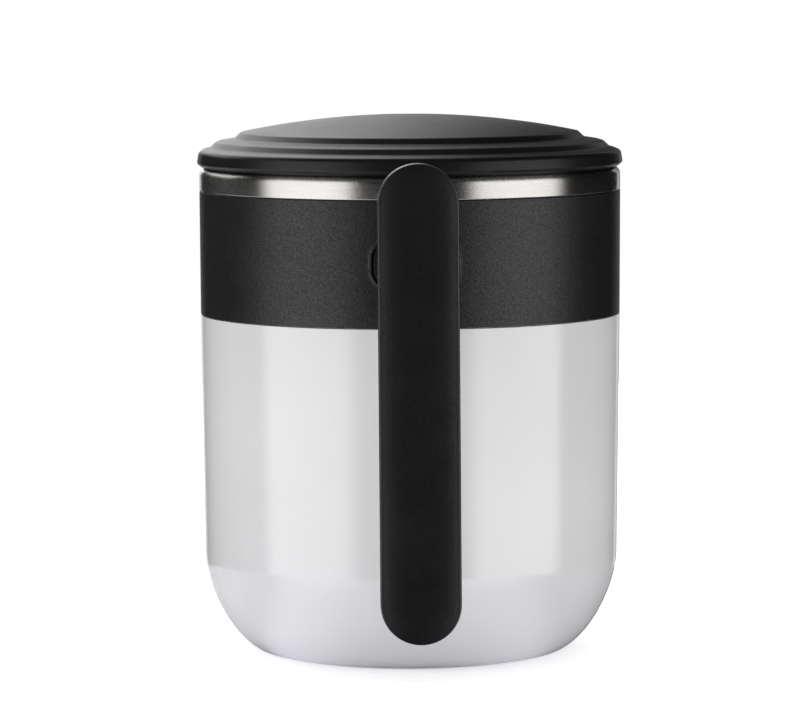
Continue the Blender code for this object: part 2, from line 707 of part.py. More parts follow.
def handle_screw(name, side):
    """Self-tapping screw with a cross recess, put in from inside the collar."""
    profile = rounded([
        (0, SCREW_LENGTH, 0),
        (SCREW_RADIUS / 2, SCREW_LENGTH, 0),
        (SCREW_RADIUS, SCREW_LENGTH - SCREW_RADIUS, 0),
        (SCREW_RADIUS, 0, 0),
        (SCREW_HEAD_RADIUS, 0, 0),
        (SCREW_HEAD_RADIUS, -SCREW_HEAD_HEIGHT, SCREW_HEAD_ROUND),
        (0, -SCREW_HEAD_HEIGHT, 0),
    ])
    place = {
        "location": (side * SCREW_PLACE, -SCREW_HEAD_FACE, SEAT_HEIGHT),
        "rotation": FACE_OUT,
    }
    screw = turned(name, profile, MUG, "screw_steel", steps=SMALL_ROUND_STEPS, **place)
    low = -SCREW_HEAD_HEIGHT - CUT_OVERRUN
    high = -SCREW_HEAD_HEIGHT + SCREW_CROSS_DEPTH
    across = block("cross_slot", SCREW_CROSS_LENGTH, SCREW_CROSS_WIDTH, low, high, 0, MUG, **place)
    along = block("cross_slot", SCREW_CROSS_WIDTH, SCREW_CROSS_LENGTH, low, high, 0, MUG, **place)
    combine(screw, across, "DIFFERENCE")
    combine(screw, along, "DIFFERENCE")
    return screw


def dome(radius, edge_height, top, steps):
    """A shallow spherical cap, from its top on the axis down to its edge."""
    rise = top - edge_height
    sphere = (radius ** 2 + rise ** 2) / (2 * rise)
    points = []
    for step in range(steps + 1):
        across = radius * step / steps
        points.append((across, top - sphere + math.sqrt(sphere ** 2 - across ** 2)))
    return points


def lid_cavity():
    """The hollow under the dome, with the pocket for the plug's flange, less the slider's well."""
    shoulder = LID_STEP_OUTER_HEIGHT - LID_WALL
    edge = LID_DOME_EDGE_HEIGHT - LID_WALL
    cap = dome(LID_DOME_RADIUS - LID_WALL, edge, LID_HEIGHT - LID_WALL, LID_INNER_STEPS)
    profile = [
        *cap,
        (PLUG_GROOVE_RADIUS, shoulder),
        (PLUG_GROOVE_RADIUS, PLUG_POCKET_DEPTH),
        (PLUG_POCKET_RADIUS, PLUG_POCKET_DEPTH),
        (PLUG_POCKET_RADIUS, -CUT_OVERRUN),
        (0, -CUT_OVERRUN),
    ]
    cavity = turned("lid_cavity", profile, LID)
    end = WELL_END + WELL_WALL
    start = VENT_POCKET_START - WELL_WALL
    kept = block(
        "well_body", WELL_WIDTH + 2 * WELL_WALL, end - start, WELL_BOTTOM, LID_HEIGHT,
        WELL_CORNER, LID, location=(0, (end + start) / 2, 0),
    )
    combine(cavity, kept, "DIFFERENCE")
    return cavity


def sip_and_vent(low, high, margin, label):
    """Shapes for the sip hole and the vent, from low to high, each wider all round by a margin."""
    spout = block(
        "sip_" + label, SIP_WIDTH + 2 * margin[0], SIP_LENGTH + 2 * margin[0], low, high,
        SIP_CORNER + margin[0], LID, location=(0, SIP_PLACE, 0),
    )
    vent = rod(
        "vent_" + label, VENT_RADIUS + margin[1], low, high, LID, location=(0, VENT_PLACE, 0),
    )
    return spout, vent


def slider_well():
    """The sunk well: a channel under ledges, the mouth between them, the vent's pocket and the holes."""
    over = LID_HEIGHT + CUT_OVERRUN
    in_well = {"location": (0, WELL_MIDDLE, 0)}
    well = block(
        "slider_well", WELL_WIDTH, WELL_LENGTH, WELL_FLOOR_HEIGHT, WELL_LEDGE, WELL_CORNER, LID, **in_well,
    )
    mouth = block(
        "well_mouth", WELL_MOUTH_WIDTH, WELL_MOUTH_LENGTH, WELL_LEDGE - CUT_OVERRUN / 2, over,
        WELL_CORNER, LID, **in_well,
    )
    vent_pocket = block(
        "vent_pocket", VENT_POCKET_WIDTH, VENT_POCKET_END - VENT_POCKET_START, WELL_FLOOR_HEIGHT, over,
        VENT_RADIUS, LID, location=(0, (VENT_POCKET_START + VENT_POCKET_END) / 2, 0),
    )
    holes = sip_and_vent(WELL_BOTTOM - CUT_OVERRUN, WELL_LEDGE, (0, 0), "hole")
    for cutter in (mouth, vent_pocket, *holes):
        combine(well, cutter, "UNION")
    return well


def lid_cover():
    """Stepped and domed lid, with the sunk well that the slider runs in."""
    steps = rounded([
        (LID_DOME_RADIUS, LID_DOME_EDGE_HEIGHT, 0),
        (LID_RADIUS - LID_STEP_INNER_MARGIN, LID_STEP_INNER_HEIGHT, LID_STEP_ROUND),
        (LID_RADIUS - LID_STEP_MIDDLE_MARGIN, LID_STEP_MIDDLE_HEIGHT, LID_STEP_ROUND),
        (LID_RADIUS - LID_STEP_OUTER_MARGIN, LID_STEP_OUTER_HEIGHT, LID_STEP_ROUND),
        (LID_RADIUS - LID_RIM_DRAFT, LID_RIM_HIGH, LID_RIM_HIGH_ROUND),
        (LID_RADIUS, LID_RIM_LOW, LID_RIM_LOW_ROUND),
        (LID_RADIUS - LID_SEAT_MARGIN, 0, 0),
        (0, 0, 0),
    ])
    top = dome(LID_DOME_RADIUS, LID_DOME_EDGE_HEIGHT, LID_HEIGHT, LID_DOME_STEPS)
    cover = turned("lid_cover", [*top[:-1], *steps], LID, "black_satin_plastic")
    combine(cover, slider_well(), "DIFFERENCE")
    combine(cover, lid_cavity(), "DIFFERENCE")
    return cover


def lid_plug():
    """Lower half of the lid: a shallow cup that drops into the mouth, with a spout and a vent tube."""
    flange_low = FIT
    flange_high = FIT + PLUG_FLANGE_THICKNESS
    groove_low = LID_GASKET_MIDDLE - LID_GASKET_HEIGHT / 2 - FIT
    groove_high = LID_GASKET_MIDDLE + LID_GASKET_HEIGHT / 2 + FIT
    profile = rounded([
        (0, PLUG_WALL - PLUG_DEPTH, 0),
        (PLUG_INNER, PLUG_WALL - PLUG_DEPTH, PLUG_BASE_ROUND),
        (PLUG_INNER, flange_high, 0),
        (PLUG_FLANGE_RADIUS, flange_high, 0),
        (PLUG_FLANGE_RADIUS, flange_low, 0),
        (PLUG_RADIUS, flange_low, 0),
        (PLUG_RADIUS, groove_high, 0),
        (PLUG_GROOVE_RADIUS, groove_high, 0),
        (PLUG_GROOVE_RADIUS, groove_low, 0),
        (PLUG_RADIUS, groove_low, 0),
        (PLUG_RADIUS, -PLUG_DEPTH, PLUG_BASE_ROUND),
        (0, -PLUG_DEPTH, 0),
    ])
    plug = turned("lid_plug", profile, LID, "black_satin_plastic")
    floor = PLUG_WALL / 2 - PLUG_DEPTH
    for tube in sip_and_vent(floor, SPOUT_TOP, (SPOUT_WALL, VENT_WALL), "tube"):
        combine(plug, tube, "UNION")
    low = -PLUG_DEPTH - CUT_OVERRUN
    for hole in sip_and_vent(low, WELL_BOTTOM, (0, 0), "channel"):
        combine(plug, hole, "DIFFERENCE")
    return plug


def lid_gasket():
    """Silicone ring in the plug's groove, which seals against the steel mouth."""
    low = LID_GASKET_MIDDLE - LID_GASKET_HEIGHT / 2
    high = LID_GASKET_MIDDLE + LID_GASKET_HEIGHT / 2
    return ring(
        "lid_gasket", LID_GASKET_INNER, LID_GASKET_OUTER, low, high, LID_GASKET_ROUND,
        LID, "black_silicone",
    )


def slider():
    """Sip closure: a base plate under the well's ledges, a deck between them, and thumb ribs."""
    low = FIT
    base_top = FIT + SLIDER_BASE_THICKNESS
    corner = WELL_CORNER - FIT
    base = block(
        "slider", SLIDER_BASE_WIDTH, SLIDER_LENGTH, low, base_top, corner, SLIDER,
        "black_satin_plastic",
    )
    deck = block(
        "slider_deck", SLIDER_DECK_WIDTH, SLIDER_DECK_LENGTH, low + SLIDER_BASE_THICKNESS / 2,
        SLIDER_DECK_TOP, corner, SLIDER,
    )
    combine(base, deck, "UNION")
    first = SLIDER_RIB_MARGIN - SLIDER_DECK_LENGTH / 2
    for index in range(SLIDER_RIB_COUNT):
        rib = block(
            "slider_rib", SLIDER_RIB_WIDTH, SLIDER_RIB_LENGTH, base_top,
            SLIDER_DECK_TOP + SLIDER_RIB_HEIGHT, SLIDER_RIB_LENGTH / 3, SLIDER,
            location=(0, first + index * SLIDER_RIB_PITCH, 0),
        )
        combine(base, rib, "UNION")
    pocket = seal_block("seal_pocket", FIT, low - CUT_OVERRUN, low + SEAL_THICKNESS + FIT)
    combine(base, pocket, "DIFFERENCE")
    return base


def seal_block(name, margin, low, high, finish=None):
    """The sip hole's seal, or with a margin the pocket that holds it."""
    width = SIP_WIDTH + 2 * (SEAL_OVERLAP + margin)
    length = SIP_LENGTH + 2 * (SEAL_OVERLAP + margin)
    return block(
        name, width, length, low, high, SIP_CORNER + SEAL_OVERLAP + margin, SLIDER, finish,
        location=(0, SIP_PLACE - SLIDER_PLACE, 0),
    )


def slider_seal():
    """Silicone pad under the slider, over the sip hole while the slider is shut."""
    return seal_block("slider_seal", 0, FIT, FIT + SEAL_THICKNESS, "grey_silicone")


PARTS, CUTTERS = clear_scene()
MATERIALS = {name: make_finish(name) for name in FINISHES}
FACE_OUT = (math.pi / 2, 0, 0)
MUG = empty("mug_axis", (0, 0, 0))
LID = empty("lid_axis", (0, 0, LID_SEAT), MUG)
SLIDER = empty("slider_axis", (0, SLIDER_PLACE, WELL_FLOOR_HEIGHT), LID)

pieces = [
    outer_shell(),
    base_pad(),
    inner_liner(),
    liner_gasket(),
    shell_gasket(),
    collar(),
    handle_frame(),
    handle_cover(),
    handle_screw("handle_screw_left", -1),
    handle_screw("handle_screw_right", 1),
    lid_cover(),
    lid_plug(),
    lid_gasket(),
    slider(),
    slider_seal(),
]
for piece in pieces:
    settle(piece)
print(len(pieces), "pieces")
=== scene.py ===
# %% [markdown]
# # A lidded travel mug
#
# The real mug is a stainless steel cup in a white plastic shell. A black collar joins the two and
# carries a T-shaped handle, and a black lid with a sip slider is pressed into the mouth. The packed
# CAD model gives every solid its place and size. This script dresses it: it puts a finely made
# surface over each solid that shows, gives every piece its finish, and lights it as in a studio.

import math

import bmesh
import bpy
import numpy as np
from mathutils import Matrix, Vector
from mathutils.geometry import tessellate_polygon


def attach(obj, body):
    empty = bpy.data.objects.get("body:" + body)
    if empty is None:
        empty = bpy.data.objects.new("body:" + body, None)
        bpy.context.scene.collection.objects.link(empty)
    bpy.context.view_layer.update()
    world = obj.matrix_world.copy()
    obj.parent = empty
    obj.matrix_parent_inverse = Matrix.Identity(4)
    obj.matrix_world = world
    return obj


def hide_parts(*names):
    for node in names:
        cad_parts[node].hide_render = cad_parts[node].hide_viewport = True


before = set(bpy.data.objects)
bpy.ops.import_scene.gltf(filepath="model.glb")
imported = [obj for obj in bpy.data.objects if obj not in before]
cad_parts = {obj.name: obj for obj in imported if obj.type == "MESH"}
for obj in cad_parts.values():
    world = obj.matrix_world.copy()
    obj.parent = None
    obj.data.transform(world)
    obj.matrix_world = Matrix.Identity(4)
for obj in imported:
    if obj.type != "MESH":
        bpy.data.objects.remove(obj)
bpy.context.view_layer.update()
MM = 0.001

# %% [markdown]
# ## The camera
#
# The photograph was taken with a long lens from about a metre away, a little above the rim and
# almost in line with the handle. A camera is set by its place and three directions, which are to
# its right, above it and behind it. Working these out from the angles is easier to check than
# turning the camera by hand. The roll is the small tilt of the photograph.

# %% Camera
CAMERA_DISTANCE = 1.0
CAMERA_HEIGHT = 0.1522
CAMERA_SIDE = math.radians(1.25)
CAMERA_YAW = math.radians(-0.128)
CAMERA_PITCH = math.radians(5.06)
CAMERA_ROLL = math.radians(0.24)
LENS_MM = 210.4
SENSOR_MM = 36
NEAREST, FARTHEST = 0.05, 50


def new_object(name, data):
    """An object that shows the given data, linked into the scene."""
    obj = bpy.data.objects.new(name, data)
    bpy.context.scene.collection.objects.link(obj)
    return obj


heading = CAMERA_SIDE + CAMERA_YAW
ahead = Vector((math.sin(heading), math.cos(heading), 0))
right = Vector((math.cos(heading), -math.sin(heading), 0))
up = Vector((0, 0, 1))
forward = ahead * math.cos(CAMERA_PITCH) - up * math.sin(CAMERA_PITCH)
above = ahead * math.sin(CAMERA_PITCH) + up * math.cos(CAMERA_PITCH)
rolled_right = right * math.cos(CAMERA_ROLL) - above * math.sin(CAMERA_ROLL)
rolled_above = right * math.sin(CAMERA_ROLL) + above * math.cos(CAMERA_ROLL)

camera_data = bpy.data.cameras.new("camera")
camera_data.lens, camera_data.sensor_width = LENS_MM, SENSOR_MM
camera_data.clip_start, camera_data.clip_end = NEAREST, FARTHEST
camera = new_object("camera", camera_data)
turn = Matrix((rolled_right, rolled_above, -forward)).transposed().to_4x4()
place = Vector((
    -CAMERA_DISTANCE * math.sin(CAMERA_SIDE), -CAMERA_DISTANCE * math.cos(CAMERA_SIDE),
    CAMERA_HEIGHT,
))
camera.matrix_world = Matrix.Translation(place) @ turn
bpy.context.scene.camera = camera
print("camera at", [round(value, 4) for value in place])

# %% [markdown]
# ## Helpers for surfaces
#
# Almost every piece here was turned, drawn or moulded, so its surface is a row of closed rings. A
# ring is an array of points, a skin joins each ring to the next with quads, and flat ends with
# holes are filled with triangles. Whole rings are worked out at once with numpy, in millimetres,
# and the mesh is made in metres. Points that lie on each other are merged at the end, which closes
# seams and poles.

# %% Skins, flat fills and finished pieces
SMOOTH_BELOW = math.radians(38)
MERGE = 1e-7


def skin(rings, closed=False, skip=None):
    """Quads between rings: point j of ring i joins point j of ring i + 1, and both next points.

    A closed skin also joins its last ring to its first. Where skip is true, a quad is left out.
    """
    rings = np.asarray(rings, float)
    rows, count = rings.shape[:2]
    i, j = np.meshgrid(np.arange(rows if closed else rows - 1), np.arange(count), indexing="ij")
    below, beside = (i + 1) % rows, (j + 1) % count
    quads = np.stack([
        i * count + j, i * count + beside, below * count + beside, below * count + j,
    ], -1)
    if skip is not None:
        quads = quads[~skip]
    return rings.reshape(-1, 3), quads.reshape(-1, 4).tolist()


def flat(loops):
    """Triangles that fill the first loop less the others. All of them lie in one plane.

    The filling is worked out in metres: in millimetres it left open edges on the lid.
    """
    outlines = [[Vector(point) for point in np.asarray(loop) * MM] for loop in loops]
    return np.concatenate(loops), [list(face) for face in tessellate_polygon(outlines)]


def new_mesh(name, points, faces, finish, unit=MM):
    """A mesh with its finish, from an array of points in the given unit and a list of faces."""
    mesh = bpy.data.meshes.new(name)
    mesh.from_pydata((points * unit).tolist(), [], faces)
    mesh.materials.append(finish)
    return mesh


def add_piece(name, parts, finish, body, node):
    """One closed mesh from skins and fills, which rides on a body and replaces a CAD node."""
    points, faces, count = [], [], 0
    for part_points, part_faces in parts:
        points.append(part_points)
        faces += [[index + count for index in face] for face in part_faces]
        count += len(part_points)
    mesh = new_mesh(name, np.concatenate(points), faces, finish)
    shape = bmesh.new()
    shape.from_mesh(mesh)
    bmesh.ops.remove_doubles(shape, verts=shape.verts, dist=MERGE)
    bmesh.ops.dissolve_degenerate(shape, edges=shape.edges, dist=MERGE)
    bmesh.ops.recalc_face_normals(shape, faces=shape.faces)
    open_edges = sum(not edge.is_manifold for edge in shape.edges)
    shape.to_mesh(mesh)
    shape.free()
    mesh.shade_smooth()
    mesh.set_sharp_from_angle(angle=SMOOTH_BELOW)
    obj = new_object(name, mesh)
    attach(obj, body)
    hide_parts(node)
    mesh.calc_loop_triangles()
    print(name, "triangles", len(mesh.loop_triangles), "open edges", open_edges)


# %% [markdown]
# ## Helpers for outlines
#
# A turned or moulded piece has no truly sharp edge: the mould and the tool leave a small round,
# and the light catches it. So an outline is given by its corners, each with its own radius, and
# each corner becomes a true arc that touches both sides.

# %% Rounded outlines
ALMOST_HALF = 0.499
ROUND = 512


def rounded(corners, closed=False, steps=8):
    """Points of an outline of (across, up, radius) corners.

    The arc of a corner touches both sides at radius / tan(half the corner's angle) from it, and
    its middle lies on the line that halves the corner. It takes up less than half of a side.
    """
    places = np.array([corner[:2] for corner in corners], float)
    points = []
    for index, (across, rise, radius) in enumerate(corners):
        place = np.array([across, rise], float)
        if radius == 0 or (not closed and index in (0, len(corners) - 1)):
            points.append(place[None])
            continue
        before, after = places[index - 1] - place, places[(index + 1) % len(places)] - place
        longest = ALMOST_HALF * min(np.hypot(*before), np.hypot(*after))
        before, after = before / np.hypot(*before), after / np.hypot(*after)
        half = math.acos(np.clip(before @ after, -1, 1)) / 2
        reach = min(radius / math.tan(half), longest)
        middle = (before + after) / np.hypot(*(before + after))
        centre = place + middle * reach / math.cos(half)
        first, last = place + before * reach - centre, place + after * reach - centre
        start = math.atan2(first[1], first[0])
        sweep = math.atan2(first[0] * last[1] - first[1] * last[0], first @ last)
        angle = start + sweep * np.linspace(0, 1, steps + 1)
        points.append(centre + np.hypot(*first) * np.stack([np.cos(angle), np.sin(angle)], -1))
    return np.concatenate(points)


def turned(profile, closed=False, count=ROUND):
    """A profile of (radius, height) turned about Z.

    Each point becomes the ring (r sin a, -r cos a, z).
    """
    profile = np.asarray(profile, float)
    angle = np.linspace(0, 2 * math.pi, count, endpoint=False)
    radius, height = profile[:, :1], profile[:, 1:]
    rings = np.stack([radius * np.sin(angle), -radius * np.cos(angle), height + 0 * angle], -1)
    return skin(rings, closed)


def rounded_box(width, length, corner, steps=10):
    """The outline of a rectangle with round corners, centred on the origin."""
    x, y = width / 2, length / 2
    places = (x, y), (-x, y), (-x, -y), (x, -y)
    return rounded([(*place, corner) for place in places], True, steps)


def at_height(outline, height, place=(0, 0)):
    """A flat outline as a ring of points at one height, moved to its place."""
    outline = np.asarray(outline, float) + np.asarray(place, float)
    return np.column_stack([outline, np.full(len(outline), height)])


# %% [markdown]
# ## Helpers for finishes
#
# Colours are written as the sRGB hex values that a picture shows, and one function turns them into
# the linear values that the renderer works with. One more function adds a node with its values and
# its links.

# %% Colour and node helpers
MATH = "ShaderNodeMath"
SMOOTH = {"interpolation_type": "SMOOTHSTEP"}


def linear(hex_colour):
    """sRGB hex to linear: c / 12.92 below 0.04045, else ((c + 0.055) / 1.055) ** 2.4."""
    srgb = [int(hex_colour[index:index + 2], 16) / 255 for index in (1, 3, 5)]
    return (*(c / 12.92 if c <= 0.04045 else ((c + 0.055) / 1.055) ** 2.4 for c in srgb), 1.0)


def connect(node, inputs):
    """Links inputs that are given a socket, or a node for its first output, and sets the others."""
    for name, value in inputs.items():
        if isinstance(value, bpy.types.Node):
            value = value.outputs[0]
        if isinstance(value, bpy.types.NodeSocket):
            node.id_data.links.new(value, node.inputs[name])
        else:
            node.inputs[name].default_value = value


def add_node(tree, kind, inputs=None, **settings):
    """Adds a node with its settings and inputs."""
    node = tree.nodes.new(kind)
    for name, value in settings.items():
        setattr(node, name, value)
    connect(node, inputs or {})
    return node


def dress(shader, **inputs):
    """Connects a shader's inputs, whose names are written with _ in place of a blank."""
    connect(shader, {name.replace("_", " "): value for name, value in inputs.items()})


def new_material(name, **values):
    """A material with one Principled shader, whose constant values are set on its own sockets."""
    material = bpy.data.materials.new(name)
    material.use_nodes = True
    tree = material.node_tree
    shader = tree.nodes["Principled BSDF"]
    dress(shader, **values)
    return material, tree, shader


def grain(tree, millimetres, detail=2, stretch=(1, 1, 1)):
    """Noise on the object's own coordinates, with features of about the given size."""
    scaled = add_node(tree, "ShaderNodeMapping", {
        "Vector": add_node(tree, "ShaderNodeTexCoord").outputs["Object"],
        "Scale": [share / (millimetres * MM) for share in stretch],
    })
    return add_node(tree, "ShaderNodeTexNoise", {"Vector": scaled, "Scale": 1, "Detail": detail})


def spread(tree, value, low, high, start=0.3, end=0.7, **settings):
    """Maps start to end onto low to high. Noise keeps mostly between 0.3 and 0.7."""
    return add_node(tree, "ShaderNodeMapRange", {
        "Value": value, "From Min": start, "From Max": end, "To Min": low, "To Max": high,
    }, **settings)


def tint(tree, value, first, second):
    """Mixes two hex colours by a value from 0 to 1."""
    mix = add_node(tree, "ShaderNodeMix", {"Factor": value}, data_type="RGBA")
    mix.inputs["A"].default_value = linear(first)
    mix.inputs["B"].default_value = linear(second)
    return mix.outputs["Result"]


def relief(tree, shader, value, millimetres):
    """Bump whose full height is given in millimetres."""
    dress(shader, Normal=add_node(tree, "ShaderNodeBump", {
        "Height": value, "Strength": 1, "Distance": millimetres * MM,
    }))


# %% [markdown]
# ## The plastics
#
# The shell is glossy white plastic, injection moulded in a polished mould, so it mirrors the lamps
# sharply and shows only a trace of waviness. The collar comes from a spark-eroded mould, whose
# pits make it matt: some are darker and duller than others, and hands leave faint cloudy marks on
# it. The lid and the handle come from a finer mould, so they have a satin sheen. Real pits are a
# few hundredths of a millimetre wide, too fine to show here. Noise of 0.3 mm on the collar and 0.4
# mm on the lid and handle stands for them, which is as coarse as it has to be to show.

# %% White shell plastic
white_gloss, tree, shader = new_material(
    "white_abs_gloss_moulded", Roughness=0.14, IOR=1.55, Specular_IOR_Level=0.6,
)
clouds = spread(tree, grain(tree, 30), 0, 1)
dress(shader, Base_Color=tint(tree, clouds, "#D4D4D4", "#D7D7D7"))
relief(tree, shader, grain(tree, 9, 1), 0.012)

# %% Matt collar plastic
# The export keeps only a plain specular level, so the socket also holds the mean of the pattern.
black_matt, tree, shader = new_material(
    "black_polypropylene_spark_eroded", IOR=1.49, Specular_IOR_Level=0.26,
)
pits = spread(tree, grain(tree, 0.3, 1), 0, 1, 0.38, 0.62)
dress(
    shader,
    Base_Color=tint(tree, pits, "#0E0E0E", "#171716"),
    Specular_IOR_Level=spread(tree, pits, 0.19, 0.34, 0, 1),
    Roughness=spread(tree, grain(tree, 11, 3), 0.36, 0.40),
)
relief(tree, shader, pits, 0.01)

# %% Satin lid and handle plastic
def satin_plastic(name, colours, specular, smoothest, roughest):
    """Black plastic with a fine mould grain, whose sheen varies a little in clouds."""
    material, tree, shader = new_material(name, IOR=1.5, Specular_IOR_Level=specular)
    pits, clouds = grain(tree, 0.4, 1), grain(tree, 9, 3)
    dress(
        shader,
        Specular_IOR_Level=spread(tree, pits, 0.85 * specular, 1.15 * specular),
        Base_Color=tint(tree, spread(tree, clouds, 0, 1), *colours),
        Roughness=spread(tree, clouds, smoothest, roughest),
    )
    relief(tree, shader, pits, 0.012)
    return material


lid_satin = satin_plastic("black_abs_satin_lid", ("#0F0F10", "#121213"), 0.17, 0.33, 0.37)
handle_satin = satin_plastic("black_abs_satin_handle", ("#0B0B0C", "#0E0E0F"), 0.42, 0.34, 0.38)

# %% [markdown]
# ## Steel and silicone
#
# The cup is drawn from stainless sheet and its rim is rolled and satin finished: fine lines run
# round it, so it blurs what it mirrors mostly up and down. Anisotropy along a tangent that runs
# round the axis gives that blur. The lines, and a speckle in the roughness and the relief, are
# drawn at 0.22 mm. That is coarser than the real ones, so that they show. The seals are matt
# silicone, and the two screws are zinc plated.

# %% Satin stainless steel
satin_steel, tree, shader = new_material(
    "stainless_steel_satin_drawn", Metallic=1.0, Anisotropic=0.92, Anisotropic_Rotation=0.25,
)
lines = grain(tree, 0.22, stretch=(0.05, 0.05, 1))
speckle = grain(tree, 0.22, 1)
dress(
    shader,
    Base_Color=tint(tree, spread(tree, lines, 0, 1), "#979592", "#9D9B98"),
    Roughness=spread(tree, speckle, 0.23, 0.28),
    Tangent=add_node(tree, "ShaderNodeTangent", direction_type="RADIAL", axis="Z"),
)
relief(tree, shader, speckle, 0.008)

# %% Silicone and zinc
def silicone(name, smoothest, roughest, *colours):
    """Moulded silicone, whose colour and sheen vary in clouds of a few millimetres."""
    material, tree, shader = new_material(name, IOR=1.42)
    dress(
        shader,
        Roughness=spread(tree, grain(tree, 3), smoothest, roughest),
        Base_Color=tint(tree, grain(tree, 5), *colours),
    )
    return material, tree, shader


black_silicone = silicone("black_silicone_moulded", 0.62, 0.72, "#1E1E1E", "#232323")[0]
grey_silicone, tree, shader = silicone("grey_silicone_moulded", 0.55, 0.65, "#98989A", "#9E9EA0")
relief(tree, shader, grain(tree, 0.5, 1), 0.01)

zinc, tree, shader = new_material("steel_zinc_plated", Metallic=1.0)
dress(
    shader,
    Roughness=spread(tree, grain(tree, 0.4), 0.3, 0.42),
    Base_Color=tint(tree, grain(tree, 0.8), "#B4B6B8", "#C2C4C6"),
)
print("materials:", [material.name for material in bpy.data.materials])

# %% [markdown]
# ## The white shell
#
# The shell is a moulded cup: an almost upright wall, a soft bottom corner that tightens as it runs
# under, and a flat foot with a recess for the pad. A thin spigot at its top goes up inside the
# collar. It is one closed profile turned about the axis. The corner is a superellipse, whose power
# makes it a little fuller than a straight chamfer and flatter than a circle.

# %% Shell and foot pad
FIT = 0.3
BODY_RADIUS = 45
SHELL_TOP_RADIUS = 44.87
SHELL_TOP = 72.2
CORNER_TOP_RADIUS = 44.23
CORNER_TOP = 20.6
CORNER_POWER = 1.61
FOOT_RADIUS = 31.4
SHELL_WALL = 2.8
SHELL_FLOOR = 4
SPIGOT_TOP = 76.7
SPIGOT_OUTER = 43.37
SPIGOT_WALL = 1.3
PAD_RADIUS = 26
PAD_THICKNESS = 1.5


def bottom_corner(foot, wall, floor, top, steps=56):
    """Superellipse from the wall to the foot, for t from 0 to 90 degrees.

    It goes out by |cos t|^(2/p) and down by |sin t|^(2/p), where p is the corner's power.
    """
    angle = np.linspace(0, math.pi / 2, steps + 1)
    out = np.clip(np.cos(angle), 0, 1) ** (2 / CORNER_POWER)
    down = np.sin(angle) ** (2 / CORNER_POWER)
    return np.stack([foot + (wall - foot) * out, top - (top - floor) * down], -1)


shell_top = rounded([
    (SPIGOT_OUTER - SPIGOT_WALL, SPIGOT_TOP, 0),
    (SPIGOT_OUTER, SPIGOT_TOP, 0),
    (SPIGOT_OUTER, SHELL_TOP, 0),
    (SHELL_TOP_RADIUS, SHELL_TOP, 0.15),
    (CORNER_TOP_RADIUS, CORNER_TOP, 0),
], steps=5)
outside = bottom_corner(FOOT_RADIUS, CORNER_TOP_RADIUS, 0, CORNER_TOP)
inside = bottom_corner(
    FOOT_RADIUS - SHELL_WALL / 2, CORNER_TOP_RADIUS - SHELL_WALL, SHELL_FLOOR, CORNER_TOP,
)
pad_roof = PAD_THICKNESS + FIT
foot = [(PAD_RADIUS + FIT, 0), (PAD_RADIUS + FIT, pad_roof), (0, pad_roof)]
shell_profile = np.concatenate([[(0, SHELL_FLOOR)], inside[::-1], shell_top[:-1], outside, foot])
add_piece("white_shell", [turned(shell_profile)], white_gloss, "mug", "outer_shell")
pad_profile = rounded([
    (0, PAD_THICKNESS, 0),
    (PAD_RADIUS, PAD_THICKNESS, 0),
    (PAD_RADIUS, 0, 0.4),
    (0, 0, 0),
])
add_piece(
    "foot_pad", [turned(pad_profile, count=256)], grey_silicone, "mug",
    "base_pad",
)

# %% [markdown]
# ## The steel cup
#
# The cup is deep drawn from thin sheet, and its rim is rolled outwards and down over the collar.
# What shows between lid and collar is this rolled band. It is again one closed profile, whose inner
# and outer lines lie a sheet's thickness apart.

# %% Steel cup
RIM_TOP = 103.6
BAND_BOTTOM = 98.7
SHEET = 0.6
MOUTH_RADIUS = 41.2
RIM_OUTER_ROUND = 1.65
RIM_INNER_ROUND = 1.2
MOUTH_BOTTOM = RIM_TOP - 12.2
STEP_RADIUS = 39.2
STEP_BOTTOM = MOUTH_BOTTOM - 3.5
STEP_ROUND = 1.75
CUP_RADIUS = 37.8
CUP_FLOOR = 7.1
CUP_FLOOR_ROUND = 13


def cup_side(offset):
    """The cup's wall from below the mouth to its floor, moved out by offset."""
    return [
        (MOUTH_RADIUS + offset, MOUTH_BOTTOM, STEP_ROUND),
        (STEP_RADIUS + offset, STEP_BOTTOM, STEP_ROUND),
        (CUP_RADIUS + offset, CUP_FLOOR - offset, CUP_FLOOR_ROUND + offset),
        (0, CUP_FLOOR - offset, 0),
    ]


under_rim = RIM_TOP - SHEET
cup_inside = [(MOUTH_RADIUS, RIM_TOP, RIM_INNER_ROUND), *cup_side(0)]
cup_outside = [(MOUTH_RADIUS + SHEET, under_rim, 0), *cup_side(SHEET)]
skirt = [
    (BODY_RADIUS - SHEET, under_rim, RIM_OUTER_ROUND - SHEET),
    (BODY_RADIUS - SHEET, BAND_BOTTOM, 0.1),
    (BODY_RADIUS, BAND_BOTTOM, 0.5),
    (BODY_RADIUS, RIM_TOP, RIM_OUTER_ROUND),
]
cup_profile = rounded([*reversed(cup_inside), *reversed(skirt), *cup_outside], steps=12)
cup = turned(cup_profile, count=384)
add_piece("steel_cup", [cup], satin_steel, "mug", "inner_liner")

# %% [markdown]
# ## The collar and the handle's seat
#
# The collar is a plain band, except where the handle's arm leaves it: there a raised bead runs
# round a sunk seat. Cutting this with Booleans would leave long thin faces that catch the light
# badly. Instead a window of quads is left out of the band, and a patch of rings fills it: each
# spoke of the patch starts on a point of the window's edge, so the two join exactly.

# %% Collar band with a window
COLLAR_BOTTOM = 72.4
COLLAR_TOP = 98.6
COLLAR_STEP = 78.3
COLLAR_SPIGOT_TOP = 101.4
COLLAR_INNER = 42.2
SEAT_HEIGHT = 85.6
WINDOW_ROWS = 36
WINDOW_STEP = 0.52
WINDOW_COLUMNS = 27


